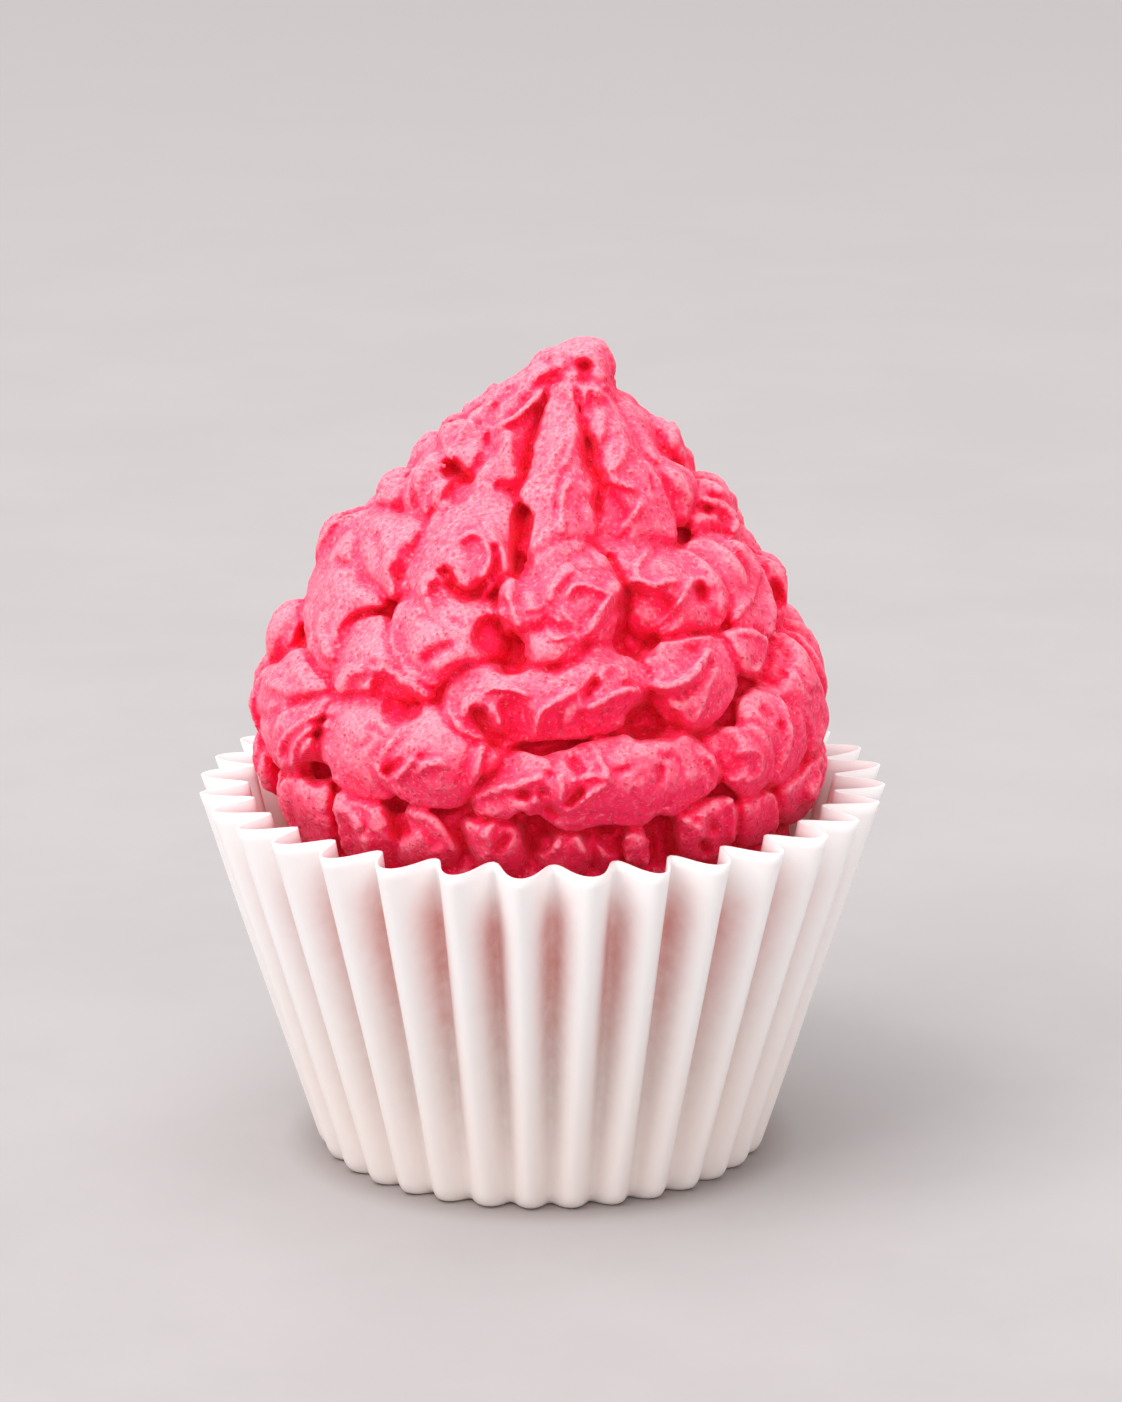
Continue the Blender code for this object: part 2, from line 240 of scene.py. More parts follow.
@dataclass(frozen=True)
class IcingFinish:
    """Matt pink icing, pitted and slightly crumbly, with painted shade in its hollows and pits and a
    painted highlight on its open crests.
    """

    # Pale flecks, shown as painted glints only where the sky reaches them.
    fleck_glint: tuple[float, ...] = srgb(255, 184, 192)
    # Partly the icing's own lighter crest tone, partly a painted highlight where crests see the sky.
    crest_highlight: tuple[float, ...] = srgb(255, 136, 156)
    body: tuple[float, ...] = srgb(255, 80, 118)
    # The next two colours are painted shade, for faces turned from the upper-left sky, creases and pits;
    # the first also darkens the grain.
    deep_shade_and_grain: tuple[float, ...] = srgb(255, 24, 86)
    hollow: tuple[float, ...] = srgb(232, 0, 44)
    sheen: tuple[float, ...] = srgb(255, 190, 205)
    mottle_mm: float = 2.2
    grain_mm: float = 0.42
    pit_mm: float = 0.75
    patch_mm: float = 3.4
    crumb_depth_mm: float = 0.18
    pit_depth_mm: float = 0.24
    roughness: float = 0.62
    glow: float = 0.4
    glow_depth_mm: float = 0.9

    def make(self) -> bpy.types.Material:
        """Make the icing's material.

        Returns:
            The material, with a painted highlight on the crests that see most of the sky and painted shade
            in its hollows and pits.
        """
        bench = Bench("pink_icing")
        relief = bench.attribute("relief")
        open_sky = bench.attribute("openness")
        mottle = bench.cloud(self.mottle_mm, 4.0, 0.6)
        grain = bench.cloud(self.grain_mm, 3.0, 0.65)
        pits = bench.cells(self.pit_mm).ramp(0.08, 0.36)
        patches = bench.cloud(self.patch_mm, 2.0).ramp(0.46, 0.66)
        # Painted highlight: spots that stand out and see the upper-left sky go towards the crest pink.
        raised = relief + (mottle - 0.5) * 0.5 + (open_sky - 0.8) * 0.6
        lit = bench.mix(raised.ramp(0.44, 0.88), self.body, self.crest_highlight)
        # Painted shade: faces hidden from the sky and sunken spots go towards the darker pink, then the
        # darkest red.
        shade = (1.0 - open_sky) + (0.5 - relief) * 0.5 + (mottle - 0.5) * 0.25
        shaded_deep = bench.mix(shade.ramp(0.16, 0.58), lit, self.deep_shade_and_grain)
        color = bench.mix(shade.ramp(0.58, 0.94), shaded_deep, self.hollow)
        # Painted shade inside the pits.
        pits_shaded = bench.mix((1.0 - pits) * (patches * 0.5 + 0.15), color, self.hollow)
        dusted = bench.mix((1.0 - grain.ramp(0.36, 0.50)) * 0.45, pits_shaded, self.deep_shade_and_grain)
        # Painted glints: the pale flecks show in proportion to how much sky each spot sees.
        glint_speckled = bench.mix(grain.ramp(0.53, 0.72) * open_sky * 0.6, dusted, self.fleck_glint)
        crumb = bench.bump(grain, self.crumb_depth_mm, 0.9)
        pitted = bench.bump(pits, self.pit_depth_mm, 0.8, crumb)
        return bench.dress(
            {
                "Base Color": glint_speckled,
                "Roughness": (mottle * 0.25 + (self.roughness - 0.12)).clamp(),
                "Normal": pitted,
                "Specular IOR Level": 0.22,
                "Subsurface Weight": self.glow,
                "Subsurface Radius": (1.0, 0.12, 0.18),
                "Subsurface Scale": self.glow_depth_mm * MM,
                "Sheen Weight": 0.14,
                "Sheen Roughness": 0.45,
                "Sheen Tint": self.sheen,
            }
        )


@dataclass(frozen=True)
class PaperFinish:
    """White baking paper that the cake and icing tint in its valleys."""

    white: tuple[float, ...] = srgb(250, 247, 246)
    warm: tuple[float, ...] = srgb(248, 235, 230)
    upper_tint: tuple[float, ...] = srgb(214, 150, 143)
    lower_tint: tuple[float, ...] = srgb(212, 190, 184)
    mottle_mm: float = 1.6
    stain_mm: float = 9.0
    stain_shift: float = 0.006
    fibre_mm: float = 0.5
    fibre_depth_mm: float = 0.03
    roughness: float = 0.42

    def make(self) -> bpy.types.Material:
        """Make the paper's material.

        Returns:
            The material, tinted where the paper touches what it holds.
        """
        bench = Bench("white_paper")
        valley = bench.attribute("valley")
        mottle = bench.cloud(self.mottle_mm, 3.0, 0.6)
        height = bench.along("Z") + (bench.cloud(self.stain_mm, 2.0) - 0.5) * self.stain_shift
        below_rim = 1.0 - height.ramp(0.0310, 0.0372)
        above_foot = height.ramp(-0.004, 0.016)
        upper = height.ramp(0.012, 0.030)
        tint = bench.mix(upper, self.lower_tint, self.upper_tint)
        front = 1.0 - bench.along("Y").ramp(-0.028, -0.012)
        share = valley * below_rim * above_foot * (front * 0.45 + 0.5) * ((mottle - 0.5) * 0.7 + 0.92)
        plain = bench.mix(height.ramp(0.004, 0.032), self.warm, self.white)
        color = bench.mix(share, plain, tint)
        fibre = bench.bump(bench.cloud(self.fibre_mm, 3.0, 0.6), self.fibre_depth_mm, 0.5)
        return bench.dress(
            {
                "Base Color": color,
                "Roughness": (mottle * 0.12 + (self.roughness - 0.06)).clamp(),
                "Normal": fibre,
                "Specular IOR Level": 0.4,
                "Subsurface Weight": 0.25,
                "Subsurface Radius": (1.0, 0.8, 0.75),
                "Subsurface Scale": 0.8 * MM,
            }
        )


@dataclass(frozen=True)
class SpongeFinish:
    """Golden baked sponge with an open crumb."""

    crust: tuple[float, ...] = srgb(196, 140, 84)
    crumb: tuple[float, ...] = srgb(230, 190, 130)
    hole_mm: float = 1.3
    hole_depth_mm: float = 0.4
    mottle_mm: float = 2.5

    def make(self) -> bpy.types.Material:
        """Make the sponge's material.

        Returns:
            The material, with small holes.
        """
        bench = Bench("sponge")
        holes = bench.cells(self.hole_mm).ramp(0.1, 0.6)
        color = bench.mix(bench.cloud(self.mottle_mm, 4.0), self.crust, self.crumb)
        return bench.dress(
            {
                "Base Color": color,
                "Roughness": 0.85,
                "Normal": bench.bump(holes, self.hole_depth_mm, 0.8),
                "Specular IOR Level": 0.2,
            }
        )


@dataclass(frozen=True)
class TableFinish:
    """Pale matt stone with a faint mottle."""

    light: tuple[float, ...] = srgb(177, 173, 173)
    dark: tuple[float, ...] = srgb(173, 169, 169)
    # Painted shade: the stone darkens away from the lights, towards the far end.
    far: tuple[float, ...] = srgb(170, 165, 166)
    # Painted contact shadow round the cupcake's foot.
    contact_shadow: tuple[float, ...] = srgb(152, 143, 141)
    mottle_mm: float = 46.0
    contact_from: float = 0.0225
    contact_to: float = 0.0275

    def make(self) -> bpy.types.Material:
        """Make the table's material.

        Returns:
            The material, darkened far off by painted shade and with a painted contact shadow close round
            the cupcake's foot.
        """
        bench = Bench("pale_table")
        veins = bench.cloud(self.mottle_mm, 5.0, 0.65).ramp(0.35, 0.65)
        depth = bench.along("Y").ramp(-0.1, 1.0)
        away = bench.add("ShaderNodeVectorMath", {"operation": "LENGTH"}, {0: bench.place()}, "Value")
        # Painted shade towards the far end.
        plain = bench.mix(depth, bench.mix(veins, self.dark, self.light), self.far)
        # Painted contact shadow, fading out between the two radii.
        shade = (1.0 - away.ramp(self.contact_from, self.contact_to)) * 0.8
        color = bench.mix(shade, plain, self.contact_shadow)
        return bench.dress({"Base Color": color, "Roughness": 0.6, "Specular IOR Level": 0.2})


# Modelling helpers


def clear_choice() -> None:
    """Leave object mode with nothing selected."""
    if bpy.context.object is not None and bpy.context.object.mode != "OBJECT":
        bpy.ops.object.mode_set(mode="OBJECT")
    bpy.ops.object.select_all(action="DESELECT")


def points_of(piece: bpy.types.Object) -> np.ndarray:
    """Return the places of a mesh's vertices as an array."""
    places = np.empty(len(piece.data.vertices) * 3)
    piece.data.vertices.foreach_get("co", places)
    return places.reshape(-1, 3)


def set_points(piece: bpy.types.Object, places: np.ndarray) -> None:
    """Move a mesh's vertices to new places."""
    piece.data.vertices.foreach_set("co", places.ravel())
    piece.data.update()


def finish_with(piece: bpy.types.Object, kind: str, **settings: object) -> None:
    """Add one modifier and apply it.

    Args:
        piece: The piece it acts on.
        kind: The modifier's type.
        settings: Its properties.
    """
    clear_choice()
    piece.select_set(True)
    bpy.context.view_layer.objects.active = piece
    modifier = piece.modifiers.new(kind.lower(), kind)
    for name, value in settings.items():
        setattr(modifier, name, value)
    bpy.ops.object.modifier_apply(modifier=modifier.name)


def ball(name: str, segments: int, rings: int) -> bpy.types.Object:
    """Add a unit ball, ready to be pushed into shape.

    Args:
        name: The new piece's name.
        segments: The number of steps round it.
        rings: The number of steps from pole to pole.

    Returns:
        The ball.
    """
    clear_choice()
    bpy.ops.mesh.primitive_uv_sphere_add(segments=segments, ring_count=rings, radius=1.0)
    piece = bpy.context.object
    piece.name = name
    piece.data.name = name
    return piece


def set_aside(piece: bpy.types.Object) -> bpy.types.Object:
    """Take a piece out of the scene until it is used.

    Args:
        piece: The piece.

    Returns:
        The same piece.
    """
    for holder in list(piece.users_collection):
        holder.objects.unlink(piece)
    return piece


def smooth(piece: bpy.types.Object) -> None:
    """Shade a piece smooth.

    Args:
        piece: The piece.
    """
    clear_choice()
    piece.select_set(True)
    bpy.context.view_layer.objects.active = piece
    bpy.ops.object.shade_smooth()


def wander(places: np.ndarray, size: float, shift: np.ndarray) -> np.ndarray:
    """Return soft noise at many places.

    Args:
        places: The places, in millimetres.
        size: The size of one lump, in millimetres.
        shift: An offset that makes each use different.

    Returns:
        The noise, about -1 to 1.
    """
    return np.array([noise.noise(Vector(p)) for p in places / size + shift])


def spline(
    before: np.ndarray, start: np.ndarray, end: np.ndarray, after: np.ndarray, share: float | np.ndarray
) -> np.ndarray:
    """Follow a smooth curve from one point to the next.

    Args:
        before: The point before the start.
        start: The point that the curve leaves.
        end: The point that the curve reaches.
        after: The point after the end.
        share: How far along, from 0 to 1.

    Returns:
        The places on the curve.
    """
    return 0.5 * (
        2.0 * start
        + (end - before) * share
        + (2.0 * before - 5.0 * start + 4.0 * end - after) * share**2
        + (3.0 * start - before - 3.0 * end + after) * share**3
    )


# The icing


@dataclass(frozen=True)
class FrontView:
    """The view that the front folds are drawn in, in millimetres."""

    eye: tuple[float, float, float] = (0.0, -538.5, 193.8)
    middle: tuple[float, float, float] = (1.95, 1.74, 46.1)

    def axes(self) -> tuple[np.ndarray, np.ndarray, np.ndarray, np.ndarray]:
        """Work out the directions of the view.

        Returns:
            The eye and the directions ahead, to the right and up.
        """
        eye = np.array(self.eye)
        ahead = np.array(self.middle) - eye
        ahead /= np.linalg.norm(ahead)
        right = np.cross(ahead, (0.0, 0.0, 1.0))
        right /= np.linalg.norm(right)
        return eye, ahead, right, np.cross(right, ahead)

    def flatten(self, places: np.ndarray) -> np.ndarray:
        """Find where places appear in the view.

        Args:
            places: The places.

        Returns:
            How far across and up from the middle each appears.
        """
        eye, ahead, right, above = self.axes()
        reach = places - eye
        scale = np.linalg.norm(np.array(self.middle) - eye) / (reach @ ahead)
        return np.stack(((reach @ right) * scale, (reach @ above) * scale), axis=1)

    def raise_from(self, skin: BVHTree, spots: np.ndarray, heights: np.ndarray) -> np.ndarray:
        """Find the places seen at spots, raised from a skin towards the eye.

        Args:
            skin: The surface that heights are measured from.
            spots: Where the places appear, across and up from the middle.
            heights: How far each is in front of the skin.

        Returns:
            The places.
        """
        eye, ahead, right, above = self.axes()
        away = np.linalg.norm(np.array(self.middle) - eye)
        places = np.empty((len(spots), 3))
        for i, (across, up) in enumerate(spots):
            heading = ahead * away + right * across + above * up
            heading /= np.linalg.norm(heading)
            aim, depth = (across, up), None
            while depth is None:
                look = ahead * away + right * aim[0] + above * aim[1]
                depth = skin.ray_cast(Vector(eye), Vector(look).normalized())[3]
                aim = (aim[0] * 0.97, aim[1] * 0.97)
            places[i] = eye + (depth - heights[i]) * heading
        return places


FRONT_VIEW = FrontView()


@dataclass(frozen=True)
class Pile:
    """The outline that the icing is piped to, in millimetres."""

    radius: float = 30.0
    belly_height: float = 45.0
    top: float = 84.0
    power: float = 1.65
    undercut: float = 1.6
    undercut_depth: float = 6.0
    lean_start: float = 65.0
    lean: float = 4.7
    lean_power: float = 1.5

    def radius_at(self, height: float) -> float:
        """Work out the radius.

        Args:
            height: The height.

        Returns:
            The radius there.
        """
        if height < self.belly_height:
            drop = min((self.belly_height - height) / self.undercut_depth, 1.2)
            return self.radius - self.undercut * drop**2
        share = min((height - self.belly_height) / (self.top - self.belly_height), 1.0)
        return self.radius * (1.0 - share**self.power)

    def lean_at(self, height: float) -> float:
        """Return how far the axis has moved to the right at a height."""
        share = (height - self.lean_start) / (self.top - self.lean_start)
        return self.lean * min(max(share, 0.0), 1.0) ** self.lean_power

    def frame_at(self, azimuth: float, height: float) -> tuple[np.ndarray, np.ndarray, np.ndarray]:
        """Work out the directions on the slope.

        Args:
            azimuth: Degrees round from the front, positive to the right.
            height: The height.

        Returns:
            The outward, sideways and upward directions.
        """
        step = 0.5
        fall = (self.radius_at(height - step) - self.radius_at(height + step)) / (2.0 * step)
        rise = math.atan(fall)
        turn = math.radians(azimuth)
        out = np.array([math.cos(rise) * math.sin(turn), -math.cos(rise) * math.cos(turn), math.sin(rise)])
        side = np.array([math.cos(turn), math.sin(turn), 0.0])
        up = np.array([-math.sin(rise) * math.sin(turn), math.sin(rise) * math.cos(turn), math.cos(rise)])
        return out, side, up


@dataclass(frozen=True)
class Lobe:
    """One piped lobe: its place on the pile, size, tilt and taper."""

    azimuth: float
    height: float
    half_width: float
    half_length: float
    tilt: float = 0.0
    taper: float = 0.0
    ridges_from: int = 5
    ridges_to: int = 8
    groove_from: float = 0.14
    groove_to: float = 0.30
    twist: float = 0.35
    tuck: float = 0.30
    fullness: float = 0.85
    waver: float = 0.25
    lump: float = 0.24
    lump_size: float = 4.5
    inset: float = 0.97
    smooth_front: float = 64.0
    front_recess: float = 3.4
    front_groove: float = 0.3

    def model(self, name: str, pile: Pile, chance: np.random.Generator) -> bpy.types.Object:
        """Model the lobe.

        Args:
            name: The new piece's name.
            pile: The outline it lies on.
            chance: The source of its unevenness.

        Returns:
            The lobe.
        """
        out, side, up = pile.frame_at(self.azimuth, self.height)
        lean = math.radians(self.tilt)
        axis = math.cos(lean) * up + math.sin(lean) * side
        across = math.cos(lean) * side - math.sin(lean) * up
        depth = min(self.half_width, self.half_length)
        recess = self.front_recess if abs(self.azimuth) < self.smooth_front and self.height < 79.0 else 0.0
        distance = max(pile.radius_at(self.height) - self.inset * depth - recess, 0.3)
        turn = math.radians(self.azimuth)
        middle = np.array(
            [pile.lean_at(self.height) + distance * math.sin(turn), -distance * math.cos(turn), self.height]
        )
        ridges = int(chance.integers(self.ridges_from, self.ridges_to + 1))
        groove_depth = chance.uniform(self.groove_from, self.groove_to)
        if abs(self.azimuth) < self.smooth_front:
            groove_depth *= self.front_groove
        twist = chance.uniform(-self.twist, self.twist)
        phase = chance.uniform(0.0, math.pi)
        shift = chance.uniform(-50.0, 50.0, 3)
        piece = ball(name, ridges * 10, 28)
        unit = points_of(piece)
        base = np.arctan2(unit[:, 1], unit[:, 0])
        polar = np.arccos(np.clip(unit[:, 2], -1.0, 1.0))
        rough = middle + (
            self.half_width * np.cos(base)[:, None] * across
            + depth * np.sin(base)[:, None] * out
            + self.half_length * np.cos(polar)[:, None] * axis
        )
        spin = base + phase + twist * (polar - 0.5 * math.pi)
        spin += self.waver * wander(rough, self.lump_size, shift)
        groove = 1.0 - np.abs(np.cos(0.5 * ridges * base))
        size = np.maximum(np.sin(polar), 0.0) ** self.fullness * (1.0 - self.taper * np.cos(polar))
        size *= (1.0 - groove_depth * groove) * (1.0 + self.lump * wander(rough, self.lump_size, -shift))
        inward = self.tuck * depth * np.cos(polar) ** 2
        places = middle + (
            (self.half_width * size * np.cos(spin))[:, None] * across
            + (depth * size * np.sin(spin) - inward)[:, None] * out
            + (self.half_length * np.cos(polar))[:, None] * axis
        )
        set_points(piece, places * MM)
        return set_aside(piece)


@dataclass(frozen=True)
class Petal:
    """A lobe of the front, drawn by its outline.

    The outline goes across and up in turn. The crown is measured from the pile's outline towards the eye,
    and the bulge from the petal's edge to its crown, all in millimetres.
    """

    crown: float
    bulge: float
    outline: tuple[float, ...]
    root: float = 6.0
    unevenness: float = 0.35
    lump_size: float = 3.2

    def edge(self, count: int) -> np.ndarray:
        """Follow the smooth outline anticlockwise.

        Args:
            count: The number of points.

        Returns:
            Evenly spaced points of the outline.
        """
        knots = np.array(self.outline).reshape(-1, 2)
        before, after, beyond = (np.roll(knots, shift, axis=0) for shift in (1, -1, -2))
        shares = np.linspace(0.0, 1.0, 12, endpoint=False)
        spans = [spline(before, knots, after, beyond, share) for share in shares]
        line = np.stack(spans, axis=1).reshape(-1, 2)
        line = np.vstack((line, line[:1]))
        walked = np.concatenate(([0.0], np.cumsum(np.linalg.norm(np.diff(line, axis=0), axis=1))))
        marks = np.linspace(0.0, walked[-1], count, endpoint=False)
        edge = np.stack([np.interp(marks, walked, line[:, axis]) for axis in (0, 1)], axis=1)
        area = (edge[:, 0] * np.roll(edge[:, 1], -1) - edge[:, 1] * np.roll(edge[:, 0], -1)).sum()
        return edge if area > 0.0 else edge[::-1]

    def gap(self, spots: np.ndarray, far: float = 3.0) -> np.ndarray:
        """Measure how far spots lie outside the outline.

        Args:
            spots: Places across and up.
            far: The distance given to all that lie further out.

        Returns:
            The distance of each, below zero inside.
        """
        edge = self.edge(72)
        gap = np.full(len(spots), far)
        inside_box = (spots > edge.min(axis=0) - far) & (spots < edge.max(axis=0) + far)
        near = np.flatnonzero(inside_box.all(axis=1))
        close = spots[near]
        least = np.full(len(near), np.inf)
        within = np.zeros(len(near), dtype=bool)
        for start, end in zip(edge, np.roll(edge, -1, axis=0)):
            run = end - start
            reach = close - start
            share = np.clip(reach @ run / (run @ run), 0.0, 1.0)
            least = np.minimum(least, np.linalg.norm(reach - share[:, None] * run, axis=1))
            crosses = (start[1] > close[:, 1]) != (end[1] > close[:, 1])
            if start[1] != end[1]:
                within ^= crosses & (reach[:, 0] < run[0] * reach[:, 1] / run[1])
        gap[near] = np.minimum(np.where(within, -least, least), far)
        return gap

    def model(self, name: str, skin: BVHTree, segments: int = 72, rings: int = 30) -> bpy.types.Object:
        """Model the petal.

        Args:
            name: The new piece's name.
            skin: The pile's outline, which the petal lies on.
            segments: The number of steps round it.
            rings: The number of steps from its crown to its root.

        Returns:
            The petal.
        """
        piece = ball(name, segments, rings)
        unit = points_of(piece)
        edge = self.edge(segments)
        middle = edge.mean(axis=0)
        turns = np.arctan2(unit[:, 1], unit[:, 0]) / (2.0 * math.pi / segments)
        step = np.round(turns).astype(int) % segments
        spots = middle + np.linalg.norm(unit[:, :2], axis=1)[:, None] * (edge[step] - middle)
        rise = np.abs(unit[:, 2])
        height = self.crown - self.bulge + np.where(unit[:, 2] > 0.0, self.bulge * rise, -self.root * rise)
        places = FRONT_VIEW.raise_from(skin, spots, height)
        lumps = wander(places, self.lump_size, np.array([self.crown, middle[0], middle[1]]))
        toward = np.array(FRONT_VIEW.eye) - places
        toward /= np.linalg.norm(toward, axis=1)[:, None]
        places += (self.unevenness * lumps * np.maximum(unit[:, 2], 0.0))[:, None] * toward
        set_points(piece, places * MM)
        return set_aside(piece)


